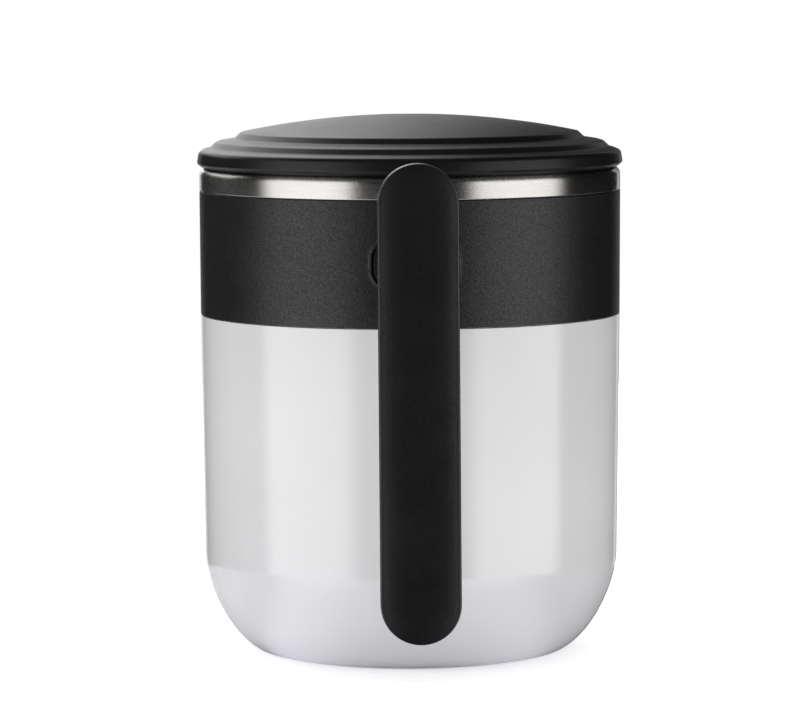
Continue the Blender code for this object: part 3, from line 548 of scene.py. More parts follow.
def band_radius(height):
    """The collar's outer radius, which grows evenly from the shell's to the steel band's."""
    share = (height - COLLAR_BOTTOM) / (COLLAR_TOP - COLLAR_BOTTOM)
    return SHELL_TOP_RADIUS + (BODY_RADIUS - SHELL_TOP_RADIUS) * share


collar_top = rounded([
    (BODY_RADIUS - SHEET - FIT, COLLAR_SPIGOT_TOP, 0),
    (BODY_RADIUS - SHEET - FIT, COLLAR_TOP, 0),
    (BODY_RADIUS, COLLAR_TOP, 0.1),
    (SHELL_TOP_RADIUS, COLLAR_BOTTOM, 0),
], steps=5)[:-1]
rows = SEAT_HEIGHT + WINDOW_STEP * np.arange(WINDOW_ROWS / 2, -WINDOW_ROWS / 2 - 1, -1)
wall = np.stack([band_radius(rows), rows], -1)
collar_bottom = rounded([
    (BODY_RADIUS, COLLAR_TOP, 0),
    (SHELL_TOP_RADIUS, COLLAR_BOTTOM, 0.05),
    (SPIGOT_OUTER + FIT, COLLAR_BOTTOM, 0),
    (SPIGOT_OUTER + FIT, COLLAR_STEP, 0),
    (COLLAR_INNER, COLLAR_STEP, 0),
    (COLLAR_INNER, COLLAR_SPIGOT_TOP, 0),
], steps=5)[1:]
collar_profile = np.concatenate([collar_top, wall, collar_bottom])
window = np.zeros((len(collar_profile), ROUND), bool)
columns = np.arange(-WINDOW_COLUMNS, WINDOW_COLUMNS) % ROUND
first, last = len(collar_top), len(collar_top) + WINDOW_ROWS
window[np.ix_(np.arange(first, last), columns)] = True
collar_rings = turned(collar_profile)[0].reshape(-1, ROUND, 3)
band = skin(collar_rings, closed=True, skip=window)

# %% [markdown]
# The patch works in the plane that faces the handle: x across and u up from the seat's centre. A
# rounded rectangle is read as a distance from the centre for each direction, so outlines of any
# size can share the same spokes. From the window's edge the rings run over the band to the bead,
# up its outer side and over its flat top. Inside it they cross a shallow recess, which rises a
# little towards the arm as the round band does, and drop into the seat just outside the arm.

# %% Seat patch
BEAD_WIDTH = 18.5
BEAD_HEIGHT = 10.4
BEAD_CORNER = 4.1
LEAST_CORNER = 0.5
BEAD_FOOT = 0.25
BEAD_TOP = 0.45
BEAD_FACE = 45.9
SEAT_FLOOR = 45.2
BAND_RINGS = 8


def reach_of(outline, direction, parts):
    """How far an outline round the origin lies from it in each direction.

    Each side is cut into parts, and the distance is read between the nearest two cuts.
    """
    sides = np.concatenate([outline, outline[:1]])
    dense = np.concatenate([
        sides[:-1] + (sides[1:] - sides[:-1]) * share
        for share in np.linspace(0, 1, parts, endpoint=False)
    ])
    angle = np.arctan2(dense[:, 1], dense[:, 0])
    order = np.argsort(angle)
    return np.interp(direction, angle[order], np.hypot(*dense.T)[order], period=2 * math.pi)


def oval(direction, inset):
    """Where rays from the centre meet the bead's outline, moved in by inset."""
    corner = max(BEAD_CORNER - inset, LEAST_CORNER)
    outline = rounded_box(BEAD_WIDTH - 2 * inset, BEAD_HEIGHT - 2 * inset, corner, 40)
    away = reach_of(outline, direction, 24)
    return away * np.cos(direction), away * np.sin(direction)


def on_band(x, u):
    """The point of the band's outer surface in front of (x, u)."""
    height = SEAT_HEIGHT + u
    return np.stack([x, -np.sqrt(band_radius(height) ** 2 - x ** 2), height], -1)


edge = np.concatenate([
    collar_rings[first, columns],
    collar_rings[first:last, WINDOW_COLUMNS],
    collar_rings[last, np.arange(WINDOW_COLUMNS, -WINDOW_COLUMNS, -1) % ROUND],
    collar_rings[np.arange(last, first, -1), -WINDOW_COLUMNS],
])
edge_x, edge_u = edge[:, 0], edge[:, 2] - SEAT_HEIGHT
direction = np.arctan2(edge_u, edge_x)
patch = [edge]
foot_x, foot_u = oval(direction, -BEAD_FOOT)
for share in np.linspace(0, 1, BAND_RINGS + 1)[1:]:
    patch.append(on_band(edge_x + (foot_x - edge_x) * share, edge_u + (foot_u - edge_u) * share))
# Two rings, each with its inset and lift, make the small fillet at the bead's foot.
for inset, lift in ((-0.1, 0.03), (-0.02, 0.12)):
    ring = on_band(*oval(direction, inset))
    ring[:, 1] -= lift
    patch.append(ring)
bead_section = rounded([
    (0, SEAT_FLOOR, 0),
    (0, BEAD_FACE, 0.2),
    (BEAD_TOP, BEAD_FACE - 0.03, 0.12),
    (BEAD_TOP + 0.15, BEAD_FACE - 0.6, 0.05),
    (1.2, BEAD_FACE - 0.42, 0.04),
    (1.3, SEAT_FLOOR, 0),
    (3, SEAT_FLOOR, 0),
])
for inset, out in bead_section:
    x, u = oval(direction, inset)
    patch.append(np.stack([x, np.full_like(x, -out), SEAT_HEIGHT + u], -1))
patch.append(np.tile([0, -SEAT_FLOOR, SEAT_HEIGHT], (len(edge), 1)))
add_piece("collar_band", [band, skin(patch)], black_matt, "mug", "collar")

# %% [markdown]
# ## The handle
#
# The handle is two mouldings. The frame is the arm with the back half of the upright strap, and
# the cover is the strap's outer face. The strap's outline is a straight bar with round ends, which
# leans by a quarter of a degree, as in the photograph. Its section is carried round that outline:
# each ring is the outline moved in by some distance, so that the face's edge is a true small round
# and the face itself has a faint crown.

# %% Strap outline and section
STRAP_WIDTH = 16.2
STRAP_TOP = 107.8
STRAP_BOTTOM = 11.9
STRAP_BACK = 72.5
STRAP_FACE = 79
COVER_THICKNESS = 3
STRAP_LEAN = 0.0041
CROWN_DEPTH = 0.85
CROWN_POWER = 2.8


def strap_ring(inset, out, arc_steps=40, side_steps=48):
    """The strap's outline moved in by inset, at distance out from the axis.

    The straight sides keep their length, and the half circles of the ends shrink to the middle
    line. The strap leans about the arm: x grows by the lean times the height below the arm.
    """
    radius = STRAP_WIDTH / 2 - inset
    high, low = STRAP_TOP - STRAP_WIDTH / 2, STRAP_BOTTOM + STRAP_WIDTH / 2
    angle = np.linspace(0, math.pi, arc_steps + 1)
    side = np.linspace(high, low, side_steps + 1)[1:-1]
    x = np.concatenate([
        radius * np.cos(angle), np.full(len(side), -radius),
        -radius * np.cos(angle), np.full(len(side), radius),
    ])
    z = np.concatenate([
        high + radius * np.sin(angle), side, low - radius * np.sin(angle), side[::-1],
    ])
    return np.stack([x + STRAP_LEAN * (SEAT_HEIGHT - z), np.full_like(x, -out), z], -1)


def strap_skin(section):
    """A skin through strap outlines, one for each (inset, out) pair."""
    return skin([strap_ring(inset, out) for inset, out in section])


HALF = STRAP_WIDTH / 2
cover_back = STRAP_FACE - COVER_THICKNESS
crown = [
    (HALF * (1 - share), STRAP_FACE - CROWN_DEPTH * share ** CROWN_POWER)
    for share in np.linspace(0, 0.92, 20)
]
edge_arc = rounded([
    (crown[-1][0], crown[-1][1], 0),
    (0, crown[-1][1] - 0.12, 0.6),
    (0, cover_back, 0.15),
    (HALF, cover_back, 0),
], steps=10)
add_piece(
    "strap_cover", [strap_skin([*crown, *edge_arc[1:]])], handle_satin, "mug",
    "handle_cover",
)

# %% [markdown]
# The arm is lofted: rounded rectangles stand one behind the other from the collar's seat to the
# strap, and grow taller along a quarter circle, which makes the fillets above and below it.

# %% Frame with its arm
ARM_WIDTH = 15.8
ARM_HEIGHT = 7.8
ARM_ROUND = 2.6
ARM_FILLET = 7
ARM_GAP = 0.1
ARM_PARTS = 9
arm_root = STRAP_BACK + 0.2
arm_end = STRAP_BACK + 1.4
frame_front = cover_back - FIT
frame_section = rounded([
    (HALF, frame_front, 0),
    (0, frame_front, 0.15),
    (0, STRAP_BACK, 1.4),
    (HALF, STRAP_BACK, 0),
], steps=10)
flare = np.linspace(0, math.pi / 2, 25)
arm_out = np.concatenate([
    np.linspace(SEAT_FLOOR + ARM_GAP, arm_root - ARM_FILLET, ARM_PARTS + 1)[:-1],
    arm_root - ARM_FILLET * (1 - np.sin(flare)), [arm_end],
])
arm_height = np.concatenate([
    np.full(ARM_PARTS, ARM_HEIGHT), ARM_HEIGHT + 2 * ARM_FILLET * (1 - np.cos(flare)),
    [ARM_HEIGHT + 2 * ARM_FILLET],
])


def arm_ring(out, height):
    """A rounded rectangle that faces the handle, at distance out from the axis."""
    outline = rounded_box(ARM_WIDTH, height, ARM_ROUND, 8)
    return np.stack([outline[:, 0], np.full(len(outline), -out), SEAT_HEIGHT + outline[:, 1]], -1)


arm_rings = [arm_ring(out, height) for out, height in zip(arm_out, arm_height)]
arm_parts = [skin(arm_rings), flat([arm_rings[0]]), flat([arm_rings[-1]])]
add_piece(
    "strap_frame", [strap_skin(frame_section), *arm_parts], handle_satin, "mug",
    "handle_frame",
)

# %% [markdown]
# ## The lid
#
# The lid's top is a shallow dome inside three rounded steps. A well is sunk into it for the
# slider: an opening with ledges over a wider channel, a pocket for the vent, and a floor with the
# sip hole and the vent in it. All rings of the lid share the same spokes, which fan out from the
# well's centre: outside they lie on circles, and inside on the well's outline. So steps, dome and
# well are one closed surface with no cut edges.

# %% Lid sizes and outlines
LID_SEAT = 103.9
LID_TOP = 10.8
DOME_RADIUS = 36.1
DOME_EDGE = 7.15
LID_WALL = 1.8
WELL_END = 33.8
WELL_START = 7.2
WELL_HALF = 8.5
WELL_CORNER = 2.2
LEDGE = 1.5
LEDGE_HEIGHT = 6.85
LIP = 0.35
WELL_FLOOR = 4.65
WELL_BOTTOM = 3.05
POCKET_HALF = 2.2
POCKET_START = 4
POCKET_ROUND = 0.9
POCKET_CORNER = 0.4
SIP_PLACE = 28.4
VENT_PLACE = 5.6
WELL_CENTRE = np.array([0, 18.3])
ARC_STEPS = 10
SIDE_PARTS = 14


def cap_height(radius, edge_radius, edge_height, top):
    """Height of a spherical cap at a distance from the axis: top - R + sqrt(R^2 - r^2)."""
    rise = top - edge_height
    sphere = (edge_radius ** 2 + rise ** 2) / (2 * rise)
    return top - sphere + np.sqrt(np.maximum(sphere ** 2 - radius ** 2, 0))


def divided(outline):
    """Divides the straight sides between an outline's arcs, so that the points lie closer."""
    arcs = outline.reshape(-1, ARC_STEPS + 1, 2)
    following = np.roll(arcs[:, 0], -1, axis=0)
    shares = np.linspace(0, 1, SIDE_PARTS + 1)[1:-1, None]
    sides = arcs[:, None, -1] + (following - arcs[:, -1])[:, None] * shares
    return np.concatenate([arcs, sides], 1).reshape(-1, 2)


def well_outline(inset, corner=WELL_CORNER):
    """The well's outline moved in by inset, with the vent's pocket at its start."""
    half, start, end = WELL_HALF - inset, WELL_START + inset, WELL_END - inset
    return divided(rounded([
        (half, end, corner), (-half, end, corner), (-half, start, corner),
        (-POCKET_HALF, start, POCKET_CORNER), (-POCKET_HALF, POCKET_START, POCKET_ROUND),
        (POCKET_HALF, POCKET_START, POCKET_ROUND), (POCKET_HALF, start, POCKET_CORNER),
        (half, start, corner),
    ], True, ARC_STEPS))


mouth, channel = well_outline(LEDGE), well_outline(0)
mouth_lip = well_outline(LEDGE - LIP, WELL_CORNER + LIP)
print("spokes of the lid:", len(mouth))


def circle_points(radius):
    """Where rays from the well's centre through the mouth meet a circle round the axis."""
    ray = mouth - WELL_CENTRE
    ray /= np.hypot(*ray.T)[:, None]
    along = ray @ WELL_CENTRE
    distance = -along + np.sqrt(along ** 2 - WELL_CENTRE @ WELL_CENTRE + radius ** 2)
    return WELL_CENTRE + ray * distance[:, None]


# %% Lid steps
DOME_START = 34.4
RIM_INSIDE = 41.9


def dome_height(radius):
    """The dome's outer face."""
    return cap_height(radius, DOME_RADIUS, DOME_EDGE, LID_TOP)


lid_steps = rounded([
    (RIM_INSIDE, 0, 0),
    (43.2, 0, 0),
    (44.4, -0.35, 0.3),
    (45.55, 0.6, 0.8),
    (45.1, 3.25, 1.3),
    (42.75, 3.9, 1.8),
    (41.35, 5.2, 1.4),
    (37.5, 5.8, 1.4),
    (DOME_RADIUS, DOME_EDGE, 1.1),
    (DOME_START, dome_height(DOME_START), 0),
], steps=8)
lid_rings = [at_height(circle_points(radius), LID_SEAT + height) for radius, height in lid_steps]


def draped(start, end, shares, height_of):
    """Rings between two outlines, each at the height that its distance from the axis gives."""
    rings = []
    for share in shares:
        flat_ring = start + (end - start) * share
        rings.append(np.column_stack([flat_ring, LID_SEAT + height_of(np.hypot(*flat_ring.T))]))
    return rings


lid_rings += draped(circle_points(DOME_START), mouth_lip, np.linspace(0, 1, 25)[1:], dome_height)
lip_height = dome_height(np.hypot(*mouth_lip.T))
for turned_by in np.linspace(0, math.pi / 2, 7)[1:]:
    ring = mouth_lip + (mouth - mouth_lip) * math.sin(turned_by)
    drop = LIP * (1 - math.cos(turned_by))
    lid_rings.append(np.column_stack([ring, LID_SEAT + lip_height - drop]))
for outline, height in ((mouth, LEDGE_HEIGHT), (channel, LEDGE_HEIGHT), (channel, WELL_FLOOR)):
    lid_rings.append(at_height(outline, LID_SEAT + height))

# %% [markdown]
# The floor is flat with two holes, and so is the underside of the well's body. Each is filled with
# triangles between its rim and the holes' outlines, and the holes' walls join the two.

# %% Well floor, holes and the lid's hollow
SIP_WIDTH, SIP_LENGTH, SIP_CORNER = 11, 5.2, 2.2
VENT_RADIUS = 1
WELL_WALL = 1.6
RIM_RECESS = 1.5
HOLLOW_RADIUS = 39.2
HOLLOW_EDGE = 2
sip_outline = rounded_box(SIP_WIDTH, SIP_LENGTH, SIP_CORNER, 12) + [0, SIP_PLACE]
vent_angle = np.linspace(0, 2 * math.pi, 32, endpoint=False)
vent_circle = VENT_RADIUS * np.stack([np.cos(vent_angle), np.sin(vent_angle)], -1)
holes = (sip_outline, vent_circle + [0, VENT_PLACE])


def holed(ring, outlines, level):
    """A flat face inside a ring, less the outlines of holes at the same level."""
    return flat([ring, *(at_height(outline, level) for outline in outlines)])


def hollow_height(radius):
    """The lid's inner face: a cap in the middle, and a slope down to the plug's wall."""
    edge_radius, edge_height = DOME_RADIUS - LID_WALL, DOME_EDGE - LID_WALL
    cap = cap_height(radius, edge_radius, edge_height, LID_TOP - LID_WALL)
    slope = np.interp(radius, [edge_radius, HOLLOW_RADIUS], [edge_height, HOLLOW_EDGE])
    return np.where(radius < edge_radius, cap, slope)


floor_level, bottom_level = LID_SEAT + WELL_FLOOR, LID_SEAT + WELL_BOTTOM
hole_walls = [
    skin([at_height(outline, floor_level), at_height(outline, bottom_level)]) for outline in holes
]
body_start, body_end = POCKET_START - WELL_WALL, WELL_END + WELL_WALL
body = rounded_box(2 * (WELL_HALF + WELL_WALL), body_end - body_start, WELL_CORNER, 40)
body = body + [0, (body_start + body_end) / 2] - WELL_CENTRE
spoke = np.arctan2(*(mouth - WELL_CENTRE).T[::-1])
away = reach_of(body, spoke, 40)
body_outline = WELL_CENTRE + away[:, None] * np.stack([np.cos(spoke), np.sin(spoke)], -1)
hollow = [at_height(circle_points(radius), LID_SEAT + height) for radius, height in (
    (RIM_INSIDE, 0), (RIM_INSIDE, RIM_RECESS), (HOLLOW_RADIUS, RIM_RECESS),
    (HOLLOW_RADIUS, HOLLOW_EDGE),
)]
hollow += draped(
    circle_points(HOLLOW_RADIUS), body_outline, np.linspace(0, 1, 15)[1:], hollow_height,
)
hollow.append(at_height(body_outline, bottom_level))
add_piece(
    "lid_top", [
        skin(lid_rings), holed(lid_rings[-1], holes, floor_level), *hole_walls,
        skin(hollow), holed(hollow[-1], holes, bottom_level),
    ], lid_satin, "lid", "lid_cover",
)

# %% [markdown]
# ## The plug, its ring and the slider
#
# The plug is the lid's lower half, a shallow cup with a groove for the silicone ring, a spout under
# the sip hole and a tube under the vent. The slider is a plate that runs under the ledges, with a
# raised deck between them and three ribs for the thumb.

# %% Plug
PLUG_BOTTOM = LID_SEAT - 8.5
PLUG_TOP = LID_SEAT + 1.2
PLUG_RADIUS = 40.4
PLUG_RIM = 41.6
PLUG_INNER = 37.6
PLUG_WALL = 1.6
PLUG_COUNT = 320
GROOVE_RADIUS = 39.2
GROOVE_HIGH = LID_SEAT - 3.5
GROOVE_LOW = LID_SEAT - 6.7
SPOUT_WALL = 1.4
TUBE_TO_VENT = 2.2
plug_floor = PLUG_BOTTOM + PLUG_WALL
floor_edge = PLUG_INNER - 4
plug_wall = turned(rounded([
    (floor_edge, plug_floor, 0),
    (PLUG_INNER, plug_floor, 1.8),
    (PLUG_INNER, PLUG_TOP, 0.15),
    (PLUG_RIM, PLUG_TOP, 0.15),
    (PLUG_RIM, LID_SEAT + FIT, 0.1),
    (PLUG_RADIUS, LID_SEAT + FIT, 0),
    (PLUG_RADIUS, GROOVE_HIGH, 0.15),
    (GROOVE_RADIUS, GROOVE_HIGH, 0),
    (GROOVE_RADIUS, GROOVE_LOW, 0),
    (PLUG_RADIUS, GROOVE_LOW, 0.15),
    (PLUG_RADIUS, PLUG_BOTTOM, 1.8),
    (floor_edge, PLUG_BOTTOM, 0),
]), count=PLUG_COUNT)
plug_rings = plug_wall[0].reshape(-1, PLUG_COUNT, 3)
spout = rounded_box(
    SIP_WIDTH + 2 * SPOUT_WALL, SIP_LENGTH + 2 * SPOUT_WALL, SIP_CORNER + SPOUT_WALL, 12,
)
tubes = (spout + [0, SIP_PLACE], TUBE_TO_VENT * vent_circle + [0, VENT_PLACE])
spout_top = LID_SEAT + WELL_BOTTOM - FIT
plug_parts = [
    plug_wall, holed(plug_rings[0], tubes, plug_floor), holed(plug_rings[-1], holes, PLUG_BOTTOM),
]
for tube, hole in zip(tubes, holes):
    plug_parts.append(skin([
        at_height(tube, plug_floor), at_height(tube, spout_top),
        at_height(hole, spout_top), at_height(hole, PLUG_BOTTOM),
    ]))
add_piece("lid_plug_cup", plug_parts, lid_satin, "lid", "lid_plug")

# %% Silicone ring
RING_INNER = GROOVE_RADIUS + FIT
RING_OUTER = MOUTH_RADIUS - FIT
RING_BODY = RING_OUTER - 0.25
ring_low, ring_high = GROOVE_LOW + FIT, GROOVE_HIGH - FIT
ring_middle = (ring_low + ring_high) / 2
ring_profile = rounded([
    (RING_BODY, ring_high, 0.2),
    (RING_BODY, ring_middle + 0.7, 0.2),
    (RING_OUTER, ring_middle + 0.35, 0.2),
    (RING_OUTER, ring_middle - 0.35, 0.2),
    (RING_BODY, ring_middle - 0.7, 0.2),
    (RING_BODY, ring_low, 0.2),
    (RING_INNER, ring_low, 0.15),
    (RING_INNER, ring_high, 0.15),
], closed=True, steps=4)
add_piece(
    "plug_ring", [turned(ring_profile, closed=True, count=PLUG_COUNT)], black_silicone, "lid",
    "lid_gasket",
)

# %% Slider and its seal
SLIDER_PLACE = 25
SLIDER_WIDTH = 16.4
SLIDER_LENGTH = 17
SLIDER_CORNER = 1.9
BASE_THICKNESS = 1.6
DECK_WIDTH = 13.4
DECK_LENGTH = 14
DECK_HEIGHT = 2.4
SEAL_WIDTH, SEAL_LENGTH, SEAL_CORNER = 12.6, 6.8, 3
SEAL_THICKNESS = 0.7
RIB_WIDTH = 10.5
RIB_THICKNESS = 1.1
RIB_HEIGHT = 0.8
RIB_PITCH = 2.4
SUNK = 0.4
CORNER_STEPS = 8


def soft_block(width, length, low, high, corner, edge_round, place):
    """A block with round upright edges and a round rim: outlines move in by r (1 - cos t)."""
    rings = [at_height(rounded_box(width, length, corner, CORNER_STEPS), low, place)]
    for turned_by in np.linspace(0, math.pi / 2, 6):
        inset = edge_round * (1 - math.cos(turned_by))
        rise = edge_round * (1 - math.sin(turned_by))
        outline = rounded_box(width - 2 * inset, length - 2 * inset, corner - inset, CORNER_STEPS)
        rings.append(at_height(outline, high - rise, place))
    return [skin(rings), flat([rings[0]]), flat([rings[-1]])]


slide_floor = LID_SEAT + WELL_FLOOR + FIT
base_top = slide_floor + BASE_THICKNESS
deck_top = LID_SEAT + WELL_FLOOR + DECK_HEIGHT
middle = (0, SLIDER_PLACE)
slider_parts = soft_block(
    SLIDER_WIDTH, SLIDER_LENGTH, slide_floor, base_top, SLIDER_CORNER, 0.1, middle,
)
# The base's flat underside gives way to one with a pocket, in which the seal sits.
base_outline = rounded_box(SLIDER_WIDTH, SLIDER_LENGTH, SLIDER_CORNER, CORNER_STEPS)
pocket = rounded_box(
    SEAL_WIDTH + 2 * FIT, SEAL_LENGTH + 2 * FIT, SEAL_CORNER + FIT, CORNER_STEPS,
) + [0, SIP_PLACE]
seal_top = slide_floor + SEAL_THICKNESS
pocket_low, pocket_roof = at_height(pocket, slide_floor), at_height(pocket, seal_top + FIT)
slider_parts[1:2] = [
    holed(at_height(base_outline, slide_floor, middle), [pocket], slide_floor),
    skin([pocket_low, pocket_roof]), flat([pocket_roof]),
]
slider_parts += soft_block(
    DECK_WIDTH, DECK_LENGTH, base_top - SUNK, deck_top, SLIDER_CORNER, 0.35, middle,
)
first_rib = SLIDER_PLACE - DECK_LENGTH / 2 + 1.6
for index in range(3):
    slider_parts += soft_block(
        RIB_WIDTH, RIB_THICKNESS, deck_top - SUNK, deck_top + RIB_HEIGHT, 0.54, 0.4,
        (0, first_rib + index * RIB_PITCH),
    )
add_piece("slider_thumb", slider_parts, lid_satin, "slider", "slider")
seal = soft_block(
    SEAL_WIDTH, SEAL_LENGTH, slide_floor, seal_top, SEAL_CORNER, 0.1, (0, SIP_PLACE),
)
add_piece("slider_pad", seal, grey_silicone, "slider", "slider_seal")

# %% [markdown]
# ## Pieces that stay as they are
#
# The two rings inside the air gap and the two handle screws are hidden in the finished mug. Their
# CAD shapes are right, so they only get their finishes.

# %% Finishes of the hidden pieces
for node, finish in (
    ("liner_gasket", black_silicone), ("shell_gasket", black_silicone),
    ("handle_screw_left", zinc), ("handle_screw_right", zinc),
):
    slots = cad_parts[node].material_slots
    for slot in slots:
        slot.material = finish
    print(node, "is now", finish.name)

# %% [markdown]
# ## The stage
#
# The photograph has a white table that runs into a white background. Here white comes from what
# the camera sees of the floor and the world, and never from more lamp light: Light Path tells the
# camera's rays from the others.
#
# The shell's rounded corner mirrors the table close to the mug, and in the photograph it shows how
# the lamps light that table: bright in front of each lamp, dim between them, and dark right under
# the mug. A small table has this painted into its glow: painted pools of lamp light and a painted
# shade under the mug for mirrored and for dull light, by the direction in which a place lies from
# the mug, and the painted shade alone for the camera. The wide floor round it is there for the
# camera alone.

# %% Table
TABLE_RADIUS = 0.12
floor_material, tree, shader = new_material("white_table_with_painted_light_and_shade", IOR=1.5)
rays = add_node(tree, "ShaderNodeLightPath").outputs
# Mirrored rays see the table dark, so that they see mostly its painted glow.
dress(
    shader,
    Base_Color=tint(tree, rays["Is Glossy Ray"], "#F4F4F5", "#303030"),
    Roughness=spread(tree, rays["Is Camera Ray"], 0.3, 1.0, 0, 1),
)
coordinates = add_node(tree, "ShaderNodeTexCoord").outputs["Object"]
# The mug's painted shade is an oval, narrower from left to right, whose middle lies 6 mm to the
# front.
from_shade = add_node(tree, "ShaderNodeMapping", {
    "Vector": coordinates, "Scale": (1.3, 1, 1), "Location": (0, 0.006, 0),
})
distance = add_node(
    tree, "ShaderNodeVectorMath", {0: from_shade}, operation="LENGTH",
).outputs["Value"]
# The glow is dimmed near the foot: this is the painted shade.
out_of_shade = spread(tree, distance, 0.3, 1.0, 0.028, 0.052)
seen_out_of_shade = spread(tree, distance, 0.3, 1.0, 0.028, 0.078)

# %% Direction from the mug
# Left of the mug x counts for three quarters: there the photograph shows the light further round.
parts = add_node(tree, "ShaderNodeSeparateXYZ", {"Vector": coordinates}).outputs
to_the_left = add_node(tree, MATH, {0: parts["X"], 1: -0.75}, operation="MULTIPLY")
aside = add_node(tree, MATH, {0: parts["X"], 1: to_the_left}, operation="MAXIMUM")
to_the_front = add_node(tree, MATH, {0: parts["Y"], 1: -1.0}, operation="MULTIPLY")
azimuth = add_node(tree, MATH, {0: aside, 1: to_the_front}, operation="ARCTAN2")


def soft_step(start, end, low=0, high=1):
    """Goes smoothly from low to high between two angles from the front, in degrees."""
    return spread(tree, azimuth, low, high, math.radians(start), math.radians(end), **SMOOTH)


# %% What the table gives to mirrored and to dull light
# Painted pools of lamp light, stronger towards the table's edge, and painted light for dull rays.
under_lamp = add_node(tree, MATH, {0: soft_step(0, 32), 1: soft_step(66, 38)}, operation="MULTIPLY")
lit = spread(tree, under_lamp, 0.1, 1.5, 0, 1)
towards_edge = spread(tree, distance, 1.0, 1.8, 0.07, TABLE_RADIUS)
lit = add_node(tree, MATH, {0: lit, 1: towards_edge}, operation="MULTIPLY")
from_left = spread(tree, parts["X"], 0.45, 0.0, -0.06, -0.03)
mirrored = add_node(
    tree, MATH, {0: soft_step(58, 95), 1: from_left, 2: lit}, operation="MULTIPLY_ADD",
)
all_round = soft_step(105, 40, 0.06, 0.44)
leftward = spread(tree, parts["X"], 1.4, 0.75, -0.06, 0.06)
scattered = add_node(tree, MATH, {0: all_round, 1: leftward}, operation="MULTIPLY")
share = add_node(
    tree, MATH, {0: rays["Is Camera Ray"], 1: seen_out_of_shade}, operation="MULTIPLY",
)
for ray, strength in (("Is Glossy Ray", mirrored), ("Is Diffuse Ray", scattered)):
    shaded = add_node(tree, MATH, {0: strength, 1: out_of_shade}, operation="MULTIPLY")
    share = add_node(tree, MATH, {0: rays[ray], 1: shaded, 2: share}, operation="MULTIPLY_ADD")
# The painted glow is faintly blue for all rays but the camera's, and white for the camera.
glow = add_node(tree, "ShaderNodeEmission", {
    "Color": tint(tree, rays["Is Camera Ray"], "#F2F2FF", "#FFFFFF"), "Strength": share,
})
both = add_node(tree, "ShaderNodeAddShader", {0: shader, 1: glow})
connect(tree.nodes["Material Output"], {"Surface": both})

# %% Table and floor
def staged(name, surface, finish):
    """A part of the stage from a skin in metres. It isn't part of the object."""
    panel = new_object(name, new_mesh(name, *surface, finish, unit=1))
    return panel


def floor_part(name, inner, outer):
    """A flat ring of floor round the mug's axis."""
    radii = np.linspace(inner, outer, 4)
    return staged(name, turned([(radius, 0) for radius in radii]), floor_material)


floor_part("floor", 0, TABLE_RADIUS)
far_floor = floor_part("floor_far", TABLE_RADIUS, 0.6)
far_floor.visible_diffuse = far_floor.visible_glossy = far_floor.visible_shadow = False

# %% World
WHITE = linear("#FFFFFF")
world = bpy.data.worlds.new("studio")
bpy.context.scene.world = world
world.use_nodes = True
tree = world.node_tree
rays = add_node(tree, "ShaderNodeLightPath").outputs
seen = rays["Is Camera Ray"]
for ray in ("Is Glossy Ray", "Is Transmission Ray"):
    seen = add_node(tree, MATH, {0: seen, 1: rays[ray]}, operation="MAXIMUM")
# The world lights dull surfaces with a tenth of the white that is seen.
strength = spread(tree, seen, 0.1, 1.0, 0, 1)
connect(tree.nodes["Background"], {"Color": WHITE, "Strength": strength})

# %% [markdown]
# ## The lamps
#
# Two tall soft lamps stand left and right of the camera and show as upright bright bands in all
# that is glossy. The bands are brightest in their middle and have soft edges, so each lamp's cloth
# is too. A lamp behind and one above draw the lid's steps and dome. One more lights the mug's
# back, and has to stay out of the mirror images in front, so glossy rays don't see it.

# %% Lamps
MUG_MIDDLE = Vector((0, 0, 0.06))


def soft_lamp(name, azimuth, distance, height, width, tall, brightness):
    """A soft lamp that faces the mug. Its watts are brightness * pi * area, where 1 looks white.

    Its cloth shines with 1 - s^2, where s is the way from the middle to a side as a share of the
    width, and fades out over the outermost fifth on either side.
    """
    data = bpy.data.lights.new(name, "AREA")
    data.shape = "RECTANGLE"
    data.size, data.size_y = width, tall
    data.energy = brightness * math.pi * width * tall
    data.use_nodes = True
    tree = data.node_tree
    across = add_node(tree, "ShaderNodeSeparateXYZ", {
        "Vector": add_node(tree, "ShaderNodeNewGeometry").outputs["Parametric"],
    })
    from_middle = spread(tree, across, -0.5, 0.5, 0, 1)
    aside = add_node(tree, MATH, {0: from_middle}, operation="ABSOLUTE")
    squared = add_node(tree, MATH, {0: aside, 1: aside}, operation="MULTIPLY")
    middle, edge = spread(tree, squared, 1, 0, 0, 1), spread(tree, aside, 1, 0, 0.3, 0.5, **SMOOTH)
    fade = add_node(tree, MATH, {0: middle, 1: edge}, operation="MULTIPLY")
    connect(tree.nodes["Emission"], {"Strength": fade})
    lamp = new_object(name, data)
    angle = math.radians(azimuth)
    lamp.location = (distance * math.sin(angle), -distance * math.cos(angle), height)
    aim = MUG_MIDDLE - lamp.location
    lamp.rotation_euler = aim.to_track_quat("-Z", "Y").to_euler()
    print(name, "watts", round(data.energy, 2))
    return lamp


# Azimuth in degrees, then distance, height, width and tallness in metres, and brightness.
soft_lamp("lamp_left", -59.1, 0.9, 0.06, 1.135, 1.2, 2.85)
soft_lamp("lamp_right", 59.4, 0.9, 0.08, 1.155, 0.9, 3.0)
soft_lamp("lamp_behind", -160, 0.7, 0.85, 0.8, 0.8, 1.6)
soft_lamp("lamp_above", 0, 0.35, 1.1, 1.0, 0.7, 0.2)
soft_lamp("lamp_back", 180, 0.9, 0.3, 1.0, 0.8, 1.2).visible_glossy = False
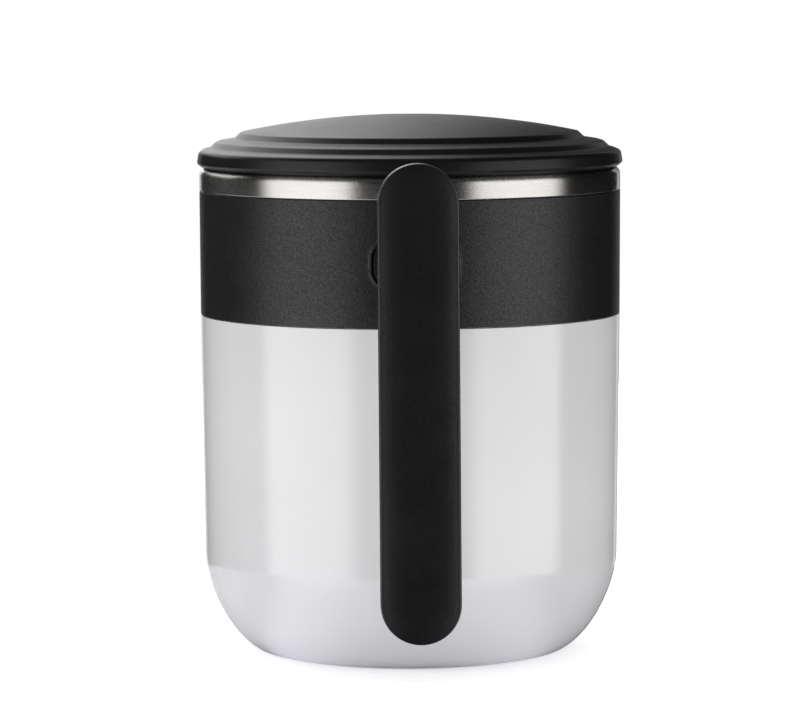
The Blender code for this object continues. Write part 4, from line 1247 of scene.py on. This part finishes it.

# %% [markdown]
# ## Black cloth and the paper behind
#
# Black cloth all round keeps the steel and the black plastics dark between the lamps' images. It
# glows with a little painted stray light, more on the left. Its part below the table glows with
# painted light that stands for the lit table further out. Behind the mug hangs white paper, whose
# glow is painted as lit from the left and dim low down. Both are parts of a sphere that only shiny
# surfaces see.

# %% Cloth and paper finishes
def backdrop(name, colour, **values):
    """A dull finish that glows white. Also gives the coordinates of a place on it."""
    material, tree, shader = new_material(
        name, Roughness=1.0, Base_Color=linear(colour), Emission_Color=WHITE, **values,
    )
    coordinates = add_node(tree, "ShaderNodeTexCoord").outputs["Object"]
    place = add_node(tree, "ShaderNodeSeparateXYZ", {"Vector": coordinates}).outputs
    return material, tree, shader, place["X"], place["Z"]


cloth, tree, shader, across, upward = backdrop("black_cloth", "#0C0C0C", Specular_IOR_Level=0.0)
# The cloth's glow is painted stray light, and low down painted light of the lit table further out.
glow = add_node(tree, MATH, {
    0: spread(tree, upward, 1.0, 0.0, -0.5, -0.25),
    1: spread(tree, across, 1.3, 0.3, -0.7, -0.2),
    2: spread(tree, across, 0.035, 0.015, -1.0, 1.0),
}, operation="MULTIPLY_ADD")
dress(shader, Emission_Strength=glow)

paper, tree, shader, across, upward = backdrop("white_paper_painted_light_from_the_left", "#000000")
# The paper's glow is painted light: bright on the left and dim low down.
glow = add_node(tree, "ShaderNodeMix", {
    "Factor": spread(tree, upward, 0, 1, 0.05, 0.3),
    "A": spread(tree, across, 0.8, 0.34, -0.05, 0.05),
    "B": spread(tree, across, 1.75, 0.06, -0.14, 0.14),
})
dress(shader, Emission_Strength=glow)

# %% Cloth and paper in place
ROWS, COLUMNS = 25, 61


def hang(name, finish, azimuths, elevations, distance=1.3):
    """Part of a sphere round the mug, between two azimuths and two elevations in degrees.

    Only shiny surfaces see it, so it shapes their reflections and changes no other light.
    """
    azimuth, elevation = np.meshgrid(
        np.radians(np.linspace(*azimuths, COLUMNS)), np.radians(np.linspace(*elevations, ROWS)),
    )
    rings = distance * np.stack([
        np.sin(azimuth) * np.cos(elevation), -np.cos(azimuth) * np.cos(elevation),
        np.sin(elevation),
    ], -1)
    open_side = np.arange(COLUMNS) == COLUMNS - 1
    panel = staged(name, skin(rings, skip=np.tile(open_side, (ROWS - 1, 1))), finish)
    panel.visible_camera = panel.visible_diffuse = False
    panel.visible_shadow = panel.visible_transmission = False


hang("cloth_round", cloth, (-162, 156), (-89, 90))
hang("cloth_behind", cloth, (-200, -162), (62, 90))
hang("paper_left", paper, (-162, -118), (18, 62), 1.25)
hang("paper_behind", paper, (-200, -162), (-8, 62))

# %% Picture settings
scene = bpy.context.scene
scene.view_settings.view_transform = "Standard"
